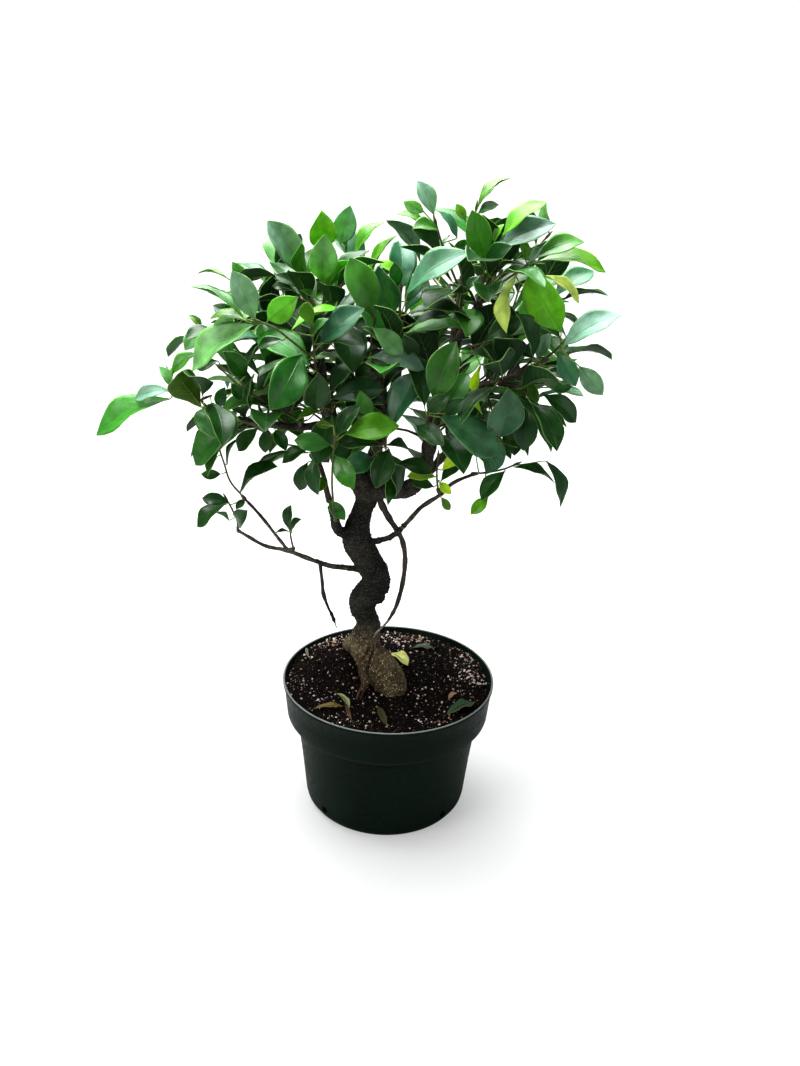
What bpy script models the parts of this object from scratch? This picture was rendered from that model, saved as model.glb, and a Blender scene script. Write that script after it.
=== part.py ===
"""A tiger bark ficus bonsai in a round nursery pot: pot, soil, woody tree, leafy shoots, fallen leaves.

The tree is laid out in its front view. A place is written as (across, down, near): across and down are
pixels of an 800 by 1066 view from VIEW_EYE, and near is how far, in millimetres, the place lies in front
of the upright plane through the pot's centre. Sizes are in millimetres, and the finished meshes are in
metres, with +Z up, the front towards -Y, and the origin in the middle of the pot's underside.
"""

import math
import random

import bmesh
import bpy
from mathutils import Matrix, Quaternion, Vector
from mathutils.bvhtree import BVHTree

MM = 0.001
GAP = 0.3
SEED = 11

# The view in which the tree is laid out
VIEW_EYE = Vector((6.2, -730.0, 557.7))
VIEW_PITCH = math.radians(21.0)
VIEW_ROLL = math.radians(2.1)
VIEW_FOCAL = 860.0
VIEW_MIDDLE = (400.0, 533.0)

# Pot
POT_HEIGHT = 131.0
RIM_RADIUS = 101.5
BAND_HEIGHT = 37.0
BAND_FOOT_RADIUS = 96.0
BODY_TOP_RADIUS = 85.0
BASE_RADIUS = 78.0
BASE_ROUNDING = 7.0
FOOT_RECESS = 3.0
FOOT_RING_WIDTH = 8.0
CENTRE_FOOT_RADIUS = 22.0
RECESS_SLOPE = 2.0
WALL = 2.0
POT_SIDES = 28

DRAINS = 4
DRAIN_RADIUS = 3.5
DRAIN_HEIGHT = 12.0
DRAIN_DEPTH = 14.0

# Soil
SOIL_TOP = 124.5
SOIL_RINGS = (94.0, 78.0, 60.0, 42.0, 22.0)
SOIL_SPOKES = POT_SIDES
SOIL_RELIEF = 1.6
HEAP_HEIGHT, HEAP_SPREAD = 8.0, 24.0
HEAP_X, HEAP_Y = -42.0, 46.0
PLANT_HOLE_CLEARANCE = 0.6

# Leaf
PLUMP = 0.47
BLADE_THICKNESS = 0.8
PETIOLE = 1.3
FOLD = 0.22
BOW = 0.09
PETIOLE_ROOT = 0.8
STATIONS = ((0.3, 0.88), (0.68, 0.88))
LONG_LEAF = 44.0
WIDEST_LEAF = 30.0
FILLER_LENGTH = 48.0
FILLER_PETIOLE = 9.0
SMALL_LEAF = 24.0
TINY_LEAF = 19.5
SMALL_STATIONS = ((0.5, 0.95),)
YOUNG, MID, DARK = "young", "mid", "dark"

# What a union leaves behind
FLAT_ANGLE = 0.002

# Wood
THIN_LIMB = 3.9
STOUT_LIMB = 7.0
TWIG_RADIUS = 2.0
STEM_RADIUS = 1.3
TWIG_END = 2.0
LONG_TWIG = 45.0

# The trunk's sections, from the soil up: across, down, near, half width in pixels, half depth
TRUNK = (
    (393, 694, 17, 14, 13),
    (390, 683, 14, 16.5, 16),
    (384, 673, 11, 18, 18),
    (377, 664, 9, 17.5, 18),
    (370, 655, 7, 16, 17),
    (365, 645, 5, 15, 16),
    (365, 635, 3, 14, 15),
    (368, 626, 2, 12.5, 13.5),
    (367, 618, 2, 11, 12),
    (363, 610, 2, 12, 12),
    (363, 601, 2, 14, 13),
    (370, 591, 4, 15.5, 13.5),
    (376, 581, 6, 14.5, 13.5),
    (373, 569, 5, 14, 13),
    (365, 556, 3, 14.5, 13),
    (358, 542, 1, 15, 13.5),
    (357, 528, 0, 13, 12.5),
    (361, 514, 0, 10.5, 10.5),
    (366, 501, 0, 11, 10.5),
    (367, 490, 0, 10.5, 9.5),
)
TRUNK_SIDES = 10

# Branches: across, down, near, radius
LIMBS = {
    "left": ((367, 497, 2, 8.5), (358, 481, 8, 8), (349, 462, 14, 7), (341, 440, 18, 6.4),
             (332, 416, 22, 5.4), (324, 392, 30, 4.4), (318, 372, 40, 3.4)),
    "far_left": ((338, 430, 18, 4.6), (320, 426, 12, 4), (300, 427, 10, 3.4), (276, 425, 12, 3),
                 (250, 422, 14, 2.4), (226, 417, 18, 2), (206, 409, 20, 1.6)),
    "left_back": ((345, 452, 16, 5.4), (334, 428, -18, 5), (318, 396, -46, 4.2), (300, 362, -66, 3.4),
                  (288, 330, -74, 2.6)),
    "left_top": ((326, 398, 26, 3.8), (322, 368, 8, 3.4), (320, 340, 6, 2.8), (320, 318, 8, 2.4)),
    "centre": ((368, 494, 0, 7.6), (371, 470, -4, 6.6), (378, 442, -10, 5.8), (386, 414, -14, 5),
               (394, 388, -14, 4.2), (399, 364, -8, 3.4), (401, 346, 8, 2.8)),
    "centre_front": ((375, 452, -6, 4.6), (379, 434, 14, 4.2), (382, 412, 30, 3.6), (378, 388, 42, 3.2),
                     (373, 366, 50, 2.6)),
    "centre_back": ((382, 428, -12, 4.4), (384, 396, -50, 3.8), (378, 362, -78, 3.2), (372, 330, -90, 2.6)),
    "right": ((368, 492, 0, 8), (384, 490, 4, 7.6), (404, 490, 8, 7), (419, 480, 12, 6.6),
              (427, 458, 14, 6.2), (432, 430, 12, 5.8), (441, 398, 8, 5.2), (450, 364, 4, 4.6),
              (456, 330, 0, 4), (460, 300, -4, 3.4), (463, 276, -6, 2.8)),
    "right_front": ((429, 446, 14, 3.8), (430, 438, 36, 3.2), (424, 434, 58, 2.6)),
    "right_out": ((444, 386, 8, 4), (464, 388, 22, 3.4), (487, 384, 36, 2.8), (512, 377, 48, 2.4),
                  (529, 369, 54, 2.1)),
    "right_upper": ((453, 348, 2, 3.8), (466, 326, 20, 3.2), (478, 306, 36, 2.8), (482, 290, 46, 2.4)),
    "right_back": ((446, 380, 6, 4.2), (466, 362, -36, 3.6), (490, 340, -62, 3), (512, 316, -76, 2.4)),
    "right_low_back": ((414, 487, 10, 4.6), (434, 466, -34, 4), (458, 440, -62, 3.2), (482, 418, -78, 2.6)),
    "low_left": ((362, 570, 4, 3.4), (345, 567.5, 8, 2.9), (329, 565.5, 10, 2.6), (306, 557.5, 11, 2.5),
                 (287, 550.5, 9, 2.3), (266, 546, 4, 2), (249, 537, 0, 1.9), (238, 530.5, -4, 1.7)),
    "low_left_twig": ((288, 550.5, 9, 1.9), (279, 539, 8, 1.8), (260, 515, 5, 1.7), (244, 498, 3, 1.5)),
    "left_low": ((352, 536, 4, 5.5), (338, 529, 10, 4.6), (334, 515, 14, 3.8), (331, 506, 17, 3.2)),
    "right_thin": ((366, 543, 4, 3.2), (388, 538, 8, 2.8), (401, 529, 12, 2.6), (421, 507.5, 20, 2.4),
                   (440, 495, 27, 2.2), (453, 483, 30, 2), (474, 474, 30, 1.6)),
}

# Roots that hang in the air: the right one comes back to the trunk, the left one ends in a fine tip, and
# the front one goes down into the soil
HANGING_ROOTS = {
    "right": ((378, 494, 2, 3.6), (383, 507, 2, 3.2), (391, 521, 0, 2.8), (401, 537, -2, 2.4),
              (405, 556, -2, 2.3), (403, 581, 0, 2.2), (397, 604, 2, 1.8), (388, 621, 8, 1.3),
              (378, 632, 13, 1.1), (370, 638, 10, 1.1)),
    "left": ((320, 562.5, 10, 1.8), (322, 580, 4, 1.6), (324, 594, -6, 2), (329, 609, -20, 1.6),
             (336, 626, -36, 0.9)),
    "front": ((366, 652, 12, 2.4), (360, 660, 27, 2), (361, 680, 31, 1.7), (357, 698, 38, 1.9),
              (356, 712, 40, 1.6)),
}
# Thick roots that flare from the trunk's foot
FLARES = {
    "toe": ((377, 664, 12, 14), (384, 676, 14, 14), (391, 688, 17, 12), (396, 702, 20, 8)),
    "heel": ((364, 630, 2, 12), (357, 637, -8, 12), (351, 647, -17, 11), (346, 660, -26, 8)),
    "back": ((371, 640, 0, 13), (377, 652, -12, 12), (384, 668, -23, 9)),
    "left": ((370, 660, 10, 12), (366, 680, 16, 9), (362, 698, 22, 6)),
}
ROOT_DEPTH = 26.0

# Leafy shoots seen from the front. Each has the limb that it grows from and how far along it, its stem,
# and its leaves: base across, base down, tip across, tip down, width seen over length seen, and a letter
# for its tone (d dark, m middle, b bright, y young), in capitals where the underside shows.
SHOOTS = {
    "far_left": ("far_left", 1.0, ((206, 409, 20), (189, 401, 22), (174, 390, 24), (169, 375, 24)), (
        (169, 399, 96, 435, .20, "m"), (170, 391, 134, 398, .28, "d"), (201, 406, 177, 374, .72, "B"),
        (171, 387, 160, 366, .42, "d"), (171, 380, 182, 361, .16, "b"), (172, 374, 194, 352, .40, "m"))),
    "left_low_front": ("far_left", .50, ((276, 425, 22), (262, 424, 30), (246, 422, 36), (238, 421, 38)), (
        (236, 422, 194, 465, .32, "m"), (240, 420, 205, 422, .16, "m"), (258, 428, 237, 451, .44, "d"),
        (266, 428, 265, 453, .48, "d"), (275, 430, 286, 450, .56, "d"))),
    "left_hanging": ("left_low", 1.0, ((331, 506, 17), (327, 492, 22), (323, 474, 26), (317, 455, 30),
                                       (310, 447, 32)), (
        (329, 500, 345, 520, .50, "m"), (309, 448, 282, 463, .38, "d"), (308, 462, 299, 491, .38, "d"),
        (316, 456, 316, 495, .38, "d"), (326, 476, 317, 492, .60, "b"))),
    "low_left_end": ("low_left", 1.0, ((238, 530.5, -4), (237, 520, -5), (232, 509, -6), (227, 500, -6)), (
        (229, 503, 202, 498, .42, "d"), (226, 504, 197, 527, .28, "d"), (245, 499, 236, 509, .56, "d"),
        (239, 525, 246, 511, .30, "d"), (229, 520, 213, 512, .20, "d"))),
    "low_left_rise": ("low_left_twig", 1.0, ((244, 498, 3), (230, 481, 2), (224, 463, 0), (219, 448, 0)), (
        (240, 493, 276, 465, .28, "d"), (221, 474, 201, 474, .50, "d"), (220, 449, 202, 458, .46, "m"),
        (218, 456, 205, 464, .46, "b"), (227, 464, 237, 438, .12, "d"))),
    "low_left_sprig": ("low_left", .60, ((293, 547, 12), (291, 538, 13), (290, 530, 14)), (
        (288, 528, 291, 505, .42, "d"), (288, 531, 275, 533, .30, "d"), (291, 533, 300, 519, .26, "d"))),
    "front_left": ("left", 1.0, ((318, 372, 40), (312, 358, 60), (294, 343, 74), (276, 329, 84),
                                 (260, 322, 88)), (
        (254, 325, 189, 368, .31, "m"), (255, 319, 233, 271, .48, "d"), (243, 317, 191, 286, .15, "m"),
        (249, 322, 210, 317, .16, "b"), (268, 320, 297, 298, .56, "b"), (301, 355, 271, 409, .60, "m"),
        (283, 340, 257, 348, .38, "d"), (314, 359, 333, 357, .32, "m"))),
    "left_shoulder": ("left_back", .60, ((290, 352, -30), (262, 340, -14), (232, 332, 0), (206, 330, 8)), (
        (202, 328, 189, 315, .36, "y"), (199, 329, 185, 350, .64, "m"), (212, 329, 186, 338, .28, "d"),
        (238, 321, 213, 305, .40, "d"))),
    "left_crest": ("left_back", .90, ((283, 320, -62), (262, 300, -58), (240, 284, -54)), (
        (226, 277, 198, 271, .14, "b"), (273, 288, 267, 273, .60, "m"), (286, 290, 258, 291, .20, "m"),
        (245, 287, 232, 262, .40, "m"))),
    "left_pocket": ("far_left", .30, ((298, 420, 24), (266, 402, 32), (240, 386, 36), (222, 370, 38)), (
        (246, 376, 225, 352, .58, "d"), (218, 361, 195, 368, .42, "m"), (219, 407, 224, 388, .52, "d"),
        (240, 400, 232, 384, .42, "d"), (254, 374, 251, 412, .20, "d"))),
    "crest_left": ("left_top", .80, ((320, 322, 4), (312, 302, 4), (307, 284, 4), (304, 272, 4)), (
        (301, 276, 268, 220, .38, "m"), (301, 271, 276, 246, .42, "B"), (308, 280, 301, 243, .34, "B"),
        (299, 288, 275, 275, .34, "d"), (294, 291, 272, 285, .34, "d"))),
    "crest_middle": ("left_top", 1.0, ((320, 318, 8), (323, 304, 22), (324, 290, 28), (323, 276, 30)), (
        (320, 246, 319, 214, .80, "B"), (322, 282, 324, 235, .50, "m"), (325, 292, 349, 260, .34, "B"),
        (318, 300, 300, 290, .30, "m"))),
    "crest_right": ("left_top", .55, ((326, 336, -16), (338, 300, -28), (345, 268, -34), (346, 250, -34)), (
        (340, 243, 350, 207, .58, "m"), (355, 256, 381, 220, .27, "b"), (346, 247, 336, 222, .40, "m"),
        (352, 270, 372, 262, .30, "d"))),
    "left_centre": ("left", .88, ((323, 386, 42), (316, 368, 66), (314, 350, 78), (312, 334, 84)), (
        (313, 326, 304, 303, .58, "B"), (292, 330, 342, 308, .12, "b"), (320, 343, 364, 308, .44, "d"),
        (321, 344, 363, 344, .20, "d"), (312, 336, 328, 318, .30, "m"))),
    "centre_crest": ("centre_front", 1.0, ((373, 366, 50), (371, 350, 58), (372, 334, 62), (374, 324, 62)), (
        (373, 319, 350, 257, .41, "m"), (372, 328, 403, 354, .42, "m"), (369, 358, 425, 367, .24, "d"),
        (360, 363, 345, 362, .34, "m"), (378, 340, 362, 326, .20, "m"))),
    "centre_fan": ("centre", 1.0, ((401, 346, 8), (399, 332, 26), (400, 312, 34), (401, 292, 34)), (
        (394, 314, 378, 268, .54, "d"), (399, 283, 377, 259, .24, "b"), (398, 286, 394, 262, .52, "d"),
        (408, 302, 420, 272, .46, "d"), (406, 312, 428, 278, .36, "d"))),
    "centre_arch": ("centre", .92, ((402, 356, 20), (404, 342, 50), (401, 326, 62), (400, 314, 66)), (
        (407, 294, 469, 251, .27, "m"), (409, 313, 471, 314, .20, "d"), (406, 334, 466, 327, .22, "m"),
        (414, 324, 450, 315, .28, "d"), (416, 358, 404, 336, .44, "d"))),
    "centre_low": ("left_low", .55, ((334, 512, 30), (332, 484, 52), (333, 458, 72), (335, 440, 80)), (
        (345, 434, 399, 425, .44, "b"), (331, 445, 294, 440, .47, "m"), (338, 435, 358, 405, .44, "d"),
        (336, 456, 353, 488, .56, "m"), (333, 426, 316, 424, .50, "B"))),
    "centre_drop": ("centre_front", .35, ((381, 430, 30), (385, 446, 50), (386, 440, 66), (386, 432, 70)), (
        (389, 449, 376, 488, .58, "d"), (371, 458, 343, 469, .70, "m"), (380, 446, 338, 443, .28, "d"),
        (370, 417, 360, 392, .64, "m"), (396, 464, 432, 472, .34, "d"))),
    "left_heart": ("left", .72, ((330, 408, 36), (324, 407, 50), (321, 404, 56), (322, 398, 58)), (
        (332, 399, 384, 387, .40, "d"), (315, 409, 319, 376, .48, "d"), (306, 384, 309, 405, .60, "d"),
        (322, 411, 296, 420, .30, "d"))),
    "right_heart": ("right_front", 1.0, ((424, 434, 58), (426, 424, 68), (428, 415, 72), (428, 408, 72)), (
        (433, 399, 455, 342, .48, "m"), (440, 417, 498, 455, .39, "m"), (428, 412, 449, 395, .52, "d"),
        (446, 414, 464, 399, .56, "d"), (416, 426, 444, 445, .42, "d"))),
    "right_lime": ("right_thin", .72, ((438, 488, 33), (437, 480, 37), (437, 470, 40), (438, 458, 42)), (
        (442, 470, 469, 451, .42, "y"), (436, 477, 407, 476, .40, "y"), (439, 482, 451, 494, .54, "y"),
        (434, 487, 411, 482, .44, "d"), (441, 481, 461, 464, .40, "d"), (441, 497, 450, 510, .46, "d"))),
    "right_low_end": ("right_thin", 1.0, ((474, 474, 30), (490, 472, 30), (504, 469, 30), (514, 465, 30)), (
        (505, 471, 481, 500, .44, "d"), (515, 467, 555, 482, .25, "d"), (546, 461, 561, 507, .20, "d"),
        (477, 456, 497, 470, .38, "d"), (488, 497, 471, 514, .62, "b"), (470, 452, 461, 467, .46, "d"))),
    "right_hanging": ("right_out", .90, ((524, 372, 40), (529, 384, 36), (529, 396, 34), (528, 404, 34)), (
        (527, 404, 524, 451, .48, "d"), (520, 413, 513, 456, .44, "d"), (533, 381, 535, 405, .44, "m"),
        (530, 379, 526, 404, .24, "d"), (543, 395, 577, 422, .34, "d"), (572, 386, 554, 390, .50, "m"))),
    "right_end": ("right_out", 1.0, ((529, 369, 54), (543, 360, 58), (556, 350, 62), (562, 344, 64)), (
        (563, 346, 621, 315, .38, "d"), (561, 332, 530, 271, .48, "b"), (560, 338, 538, 318, .38, "d"),
        (558, 353, 576, 386, .50, "m"), (537, 358, 550, 334, .52, "d"), (534, 359, 508, 345, .38, "d"),
        (533, 356, 521, 314, .34, "d"), (545, 372, 573, 378, .30, "d"), (579, 366, 603, 395, .58, "d"))),
    "right_lime_drop": ("right", .70, ((452, 352, 24), (464, 348, 52), (476, 345, 62), (484, 343, 64)), (
        (480, 366, 482, 415, .22, "y"), (482, 346, 497, 380, .14, "d"), (485, 341, 521, 318, .42, "d"))),
    "right_leaf_oval": ("right_out", .45, ((484, 388, 48), (490, 404, 54), (495, 424, 58), (497, 436, 58)), (
        (500, 437, 508, 389, .60, "d"), (484, 402, 469, 424, .34, "d"), (501, 443, 518, 447, .30, "d"))),
    "right_crown": ("right_upper", 1.0, ((482, 290, 46), (484, 276, 50), (487, 262, 52), (496, 248, 52),
                                         (501, 239, 52)), (
        (484, 259, 472, 210, .49, "m"), (492, 257, 555, 221, .24, "m"), (503, 236, 546, 200, .30, "b"),
        (494, 243, 504, 224, .36, "b"), (486, 264, 511, 246, .40, "d"), (486, 273, 524, 262, .14, "d"),
        (481, 276, 466, 290, .30, "d"))),
    "right_crest_left": ("right", .92, ((460, 290, 8), (450, 266, 16), (442, 244, 18), (436, 224, 18)), (
        (434, 215, 418, 180, .44, "d"), (424, 212, 404, 202, .66, "m"), (424, 223, 398, 213, .34, "b"),
        (441, 252, 414, 229, .28, "d"), (438, 230, 414, 226, .34, "m"), (457, 238, 438, 211, .34, "m"))),
    "right_crest": ("right", 1.0, ((463, 276, -6), (468, 250, -14), (474, 222, -18), (476, 210, -18)), (
        (466, 221, 456, 204, .46, "b"), (478, 206, 509, 176, .27, "m"), (452, 251, 470, 241, .46, "d"),
        (481, 266, 473, 249, .28, "m"), (478, 214, 498, 204, .30, "d"))),
    "right_shoulder": ("right_upper", .72, ((478, 302, 50), (500, 284, 56), (516, 273, 58), (530, 262, 58)), (
        (536, 258, 584, 240, .37, "m"), (529, 263, 541, 247, .38, "d"), (538, 262, 607, 267, .12, "b"),
        (526, 261, 520, 238, .40, "b"), (517, 274, 505, 333, .24, "y"), (521, 284, 534, 292, .30, "y"),
        (546, 276, 579, 303, .18, "y"))),
    "right_back_crest": ("right_back", .55, ((484, 330, -46), (506, 290, -44), (530, 256, -38),
                                             (546, 238, -34)), (
        (549, 233, 545, 202, .40, "m"), (536, 244, 522, 206, .36, "d"), (548, 250, 562, 236, .40, "m"),
        (520, 262, 500, 240, .40, "d"))),
}

# Leafy shoots of the back and the inside, whose leaves stand round the stem by rule: the limb and how far
# along it, the stem, and the number of leaves.
FILLERS = {
    "inner_left_top": ("left_back", .30, ((312, 392, -26), (294, 360, -14), (276, 332, -6)), 5),
    "inner_left_low": ("left", .35, ((334, 452, -4), (308, 448, -16), (284, 444, -24)), 5),
    "inner_centre": ("centre", .50, ((376, 404, -22), (356, 384, -34), (340, 360, -40)), 5),
    "inner_centre_right": ("centre", .72, ((402, 386, -28), (420, 368, -36), (436, 348, -42)), 5),
    "back_left_low": ("left_back", .35, ((322, 414, -60), (292, 406, -78), (262, 400, -84)), 5),
    "back_left_side": ("left_back", .60, ((296, 366, -80), (262, 356, -92), (234, 352, -92)), 6),
    "back_left_crest": ("left_back", 1.0, ((288, 330, -74), (280, 300, -84), (276, 276, -84)), 6),
    "back_left_deep": ("left_back", .75, ((300, 346, -92), (306, 322, -112), (308, 300, -116)), 5),
    "back_inner_left": ("centre_back", .45, ((372, 388, -84), (350, 384, -108), (332, 380, -118)), 5),
    "back_centre_crest": ("centre_back", 1.0, ((372, 330, -90), (366, 304, -96), (364, 284, -92)), 6),
    "back_centre_deep": ("centre_back", .80, ((382, 350, -100), (400, 338, -122), (412, 324, -128)), 5),
    "back_centre_low": ("centre_back", .25, ((392, 410, -52), (404, 404, -84), (410, 402, -104)), 5),
    "back_middle_crest": ("right", .88, ((452, 300, -34), (436, 282, -56), (424, 266, -62)), 5),
    "back_right_crest": ("right_back", .80, ((504, 310, -84), (492, 280, -92), (484, 256, -88)), 6),
    "back_right_side": ("right_back", 1.0, ((512, 316, -76), (534, 306, -84), (556, 300, -82)), 6),
    "back_right_deep": ("right_back", .50, ((474, 344, -84), (466, 326, -110), (458, 312, -118)), 5),
    "back_right_low": ("right_low_back", 1.0, ((482, 418, -78), (508, 408, -84), (530, 398, -82)), 6),
    "back_right_under": ("right_low_back", .70, ((452, 428, -90), (450, 400, -110), (452, 382, -116)), 5),
    "inner_right": ("right", .60, ((462, 394, -10), (490, 372, -16), (516, 352, -18)), 5),
    "inner_left": ("left", .55, ((322, 420, 4), (290, 396, -10), (266, 378, -14)), 5),
}

# How many more leaves stand behind a front shoot, pointing away from the viewer
BEHIND = {"left_pocket": 2, "left_heart": 2, "left_centre": 2, "centre_fan": 2, "centre_drop": 2,
          "right_heart": 1, "right_lime_drop": 3, "right_leaf_oval": 2, "left_shoulder": 2}
BEHIND_LEAN = 0.25

# Dropped leaves are let down onto the soil from this high, in these steps
DROP_HEIGHT = 20.0
DROP_STEP = 0.05
# Leaves that lie on the soil: base across, base down, tip across, tip down, width, tone
FALLEN = {
    "fallen_leaf_yellow": (391, 655, 408, 668, 13, YOUNG),
    "fallen_leaf_green": (447, 717, 476, 706, 16, MID),
    "fallen_leaf_grey": (413, 649, 434, 649, 10, MID),
    "fallen_leaf_tan": (313, 712, 343, 710, 6, YOUNG),
    "fallen_leaf_sliver": (337, 696, 350, 710, 6, YOUNG),
}

TONE_COLOURS = {DARK: (0.035, 0.14, 0.045), MID: (0.075, 0.27, 0.04), YOUNG: (0.34, 0.55, 0.05)}
TONE_LETTERS = {"d": DARK, "m": MID, "b": MID, "y": YOUNG}


def sight(across, down):
    """Direction from the eye through a pixel of the view."""
    ahead = Vector((0.0, math.cos(VIEW_PITCH), -math.sin(VIEW_PITCH)))
    right = Vector((1.0, 0.0, 0.0))
    up = right.cross(ahead)
    right_rolled = right * math.cos(VIEW_ROLL) + up * math.sin(VIEW_ROLL)
    up_rolled = up * math.cos(VIEW_ROLL) - right * math.sin(VIEW_ROLL)
    x = (across - VIEW_MIDDLE[0]) / VIEW_FOCAL
    y = (down - VIEW_MIDDLE[1]) / VIEW_FOCAL
    return ahead + right_rolled * x - up_rolled * y


def seen(across, down, near):
    """The point behind a pixel that lies near millimetres in front of the pot's middle plane."""
    ray = sight(across, down)
    return VIEW_EYE + ray * ((-near - VIEW_EYE.y) / ray.y)


def pixels_each_mm(place):
    """How many pixels of the view a millimetre spans at a place."""
    ahead = Vector((0.0, math.cos(VIEW_PITCH), -math.sin(VIEW_PITCH)))
    return VIEW_FOCAL / (place - VIEW_EYE).dot(ahead)


def on_soil(across, down, height=0.0):
    """The point behind a pixel at a height above the soil."""
    ray = sight(across, down)
    return VIEW_EYE + ray * ((SOIL_TOP + height - VIEW_EYE.z) / ray.z)


def smooth_path(points, steps):
    """A Catmull-Rom curve through the points, with steps to each span."""
    padded = [points[0] * 2 - points[1], *points, points[-1] * 2 - points[-2]]
    path = []
    for i in range(len(points) - 1):
        a, b, c, d = padded[i:i + 4]
        for k in range(steps):
            t = k / steps
            path.append((b * 2 + (c - a) * t + (a * 2 - b * 5 + c * 4 - d) * t ** 2
                         + (b * 3 - a - c * 3 + d) * t ** 3) / 2)
    return [*path, points[-1]]


def point_along(path, share):
    """The point and direction at a share of the path's length."""
    lengths = [(b - a).length for a, b in zip(path, path[1:])]
    left = share * sum(lengths)
    for (a, b), length in zip(zip(path, path[1:]), lengths):
        if left <= length or b is path[-1]:
            return a.lerp(b, min(1.0, left / length)), (b - a).normalized()
        left -= length


def nearest_along(path, point):
    """The point of the path nearest to a point."""
    best = path[0]
    for a, b in zip(path, path[1:]):
        t = max(0.0, min(1.0, (point - a).dot(b - a) / (b - a).length_squared))
        here = a.lerp(b, t)
        if (here - point).length < (best - point).length:
            best = here
    return best


class Leaf:
    """A blade from base to tip, its upper face along up, joined to the stem at root."""

    def __init__(self, root, base, tip, up, width, tone, underside=False):
        self.root, self.base, self.tip, self.width, self.tone = root, base, tip, width, tone
        self.along = (tip - base).normalized()
        self.length = (tip - base).length
        self.up = (up - self.along * up.dot(self.along)).normalized()
        self.side = self.along.cross(self.up)
        self.underside = underside

    def at(self, t, across):
        """A point of the blade's middle surface, at a share t of its length and across its half width."""
        bow = math.sin(math.pi * min(1.0, t)) * BOW * self.length
        droop = -t ** 3 * BOW * 0.6 * self.length
        rise = abs(across) * FOLD
        return (self.base + self.along * (t * self.length) + self.side * across
                + self.up * (bow + droop + rise))


def leaf_mesh(leaf, spare=0.0, petiole=True):
    """Points and faces of a closed blade with its petiole, thickened by spare where clearance is tested."""
    half = BLADE_THICKNESS / 2 + spare
    grip = PETIOLE / 2 + spare
    into = (leaf.base - leaf.root).normalized() if petiole else leaf.along
    points, faces = [], []
    if petiole:
        points += stalk_ring(leaf, leaf.root, into, PETIOLE_ROOT / 2 + spare)
    if not petiole or leaf.length > LONG_LEAF:
        points += stalk_ring(leaf, leaf.base, (into + leaf.along).normalized(), grip)
    for low in range(0, len(points) - 3, 3):
        for k in range(3):
            m = (k + 1) % 3
            faces.append([low + k, low + m, low + 3 + m, low + 3 + k])
    faces.append([0, 2, 1])
    left, right, keel = range(len(points) - 3, len(points))
    rows = []
    for t, share in STATIONS if leaf.length > SMALL_LEAF else SMALL_STATIONS:
        reach = share * leaf.width / 2 + spare
        for lift in (half, -half):
            rows.append(range(len(points), len(points) + 3))
            points += [leaf.at(t, offset) + leaf.up * lift for offset in (-reach, 0.0, reach)]
    upper, lower = rows[:2]
    faces += [[left, upper[1], upper[0]], [left, right, upper[1]], [right, upper[2], upper[1]]]
    faces += [[keel, lower[0], lower[1]], [keel, lower[1], lower[2]]]
    faces += [[left, upper[0], lower[0], keel], [right, keel, lower[2], upper[2]]]
    for (a, b), (c, d) in zip(zip(rows[::2], rows[1::2]), zip(rows[2::2], rows[3::2])):
        for k in (0, 1):
            faces.append([a[k], a[k + 1], c[k + 1], c[k]])
            faces.append([b[k + 1], b[k], d[k], d[k + 1]])
        faces.append([b[0], a[0], c[0], d[0]])
        faces.append([a[2], b[2], d[2], c[2]])
    upper, lower = rows[-2:]
    end = len(points)
    points.append(leaf.at(1.0, 0.0) + leaf.along * spare)
    for k in (0, 1):
        faces.append([upper[k], upper[k + 1], end])
        faces.append([lower[k + 1], lower[k], end])
    faces += [[lower[0], upper[0], end], [upper[2], lower[2], end]]
    return points, triangles_of(faces)


def stalk_ring(leaf, centre, direction, grip):
    """Three points round a petiole: two above and a keel below, turned with the petiole's own bend."""
    turn = leaf.along.rotation_difference(direction)
    side, up = turn @ leaf.side, turn @ leaf.up
    return [centre - side * grip + up * (grip * 0.6), centre + side * grip + up * (grip * 0.6),
            centre - up * grip]


def triangles_of(faces):
    """The faces as triangles, split alike on both sides of a blade, so that its skins never cross."""
    split = []
    for face in faces:
        if len(face) == 4:
            a, b, c, d = face
            split += [[a, b, c], [a, c, d]] if min(face) in (a, c) else [[a, b, d], [b, c, d]]
        else:
            split.append(face)
    return split


def tree_of(points, faces):
    return BVHTree.FromPolygons(points, faces)


def tube_mesh(path, radii, sides=5, spare=0.0):
    """Points and faces of a plain tube, for clearance tests."""
    points, faces = [], []
    for i, (centre, radius) in enumerate(zip(path, radii)):
        ahead = path[min(i + 1, len(path) - 1)] - path[max(i - 1, 0)]
        turn = ahead.to_track_quat("Z", "Y")
        for k in range(sides):
            angle = math.tau * k / sides
            points.append(centre + turn @ Vector((math.cos(angle), math.sin(angle), 0)) * (radius + spare))
    for i in range(len(path) - 1):
        for k in range(sides):
            m = (k + 1) % sides
            faces.append([i * sides + k, i * sides + m, (i + 1) * sides + m, (i + 1) * sides + k])
    faces.append(list(range(sides))[::-1])
    faces.append([len(points) - sides + k for k in range(sides)])
    return points, faces


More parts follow.
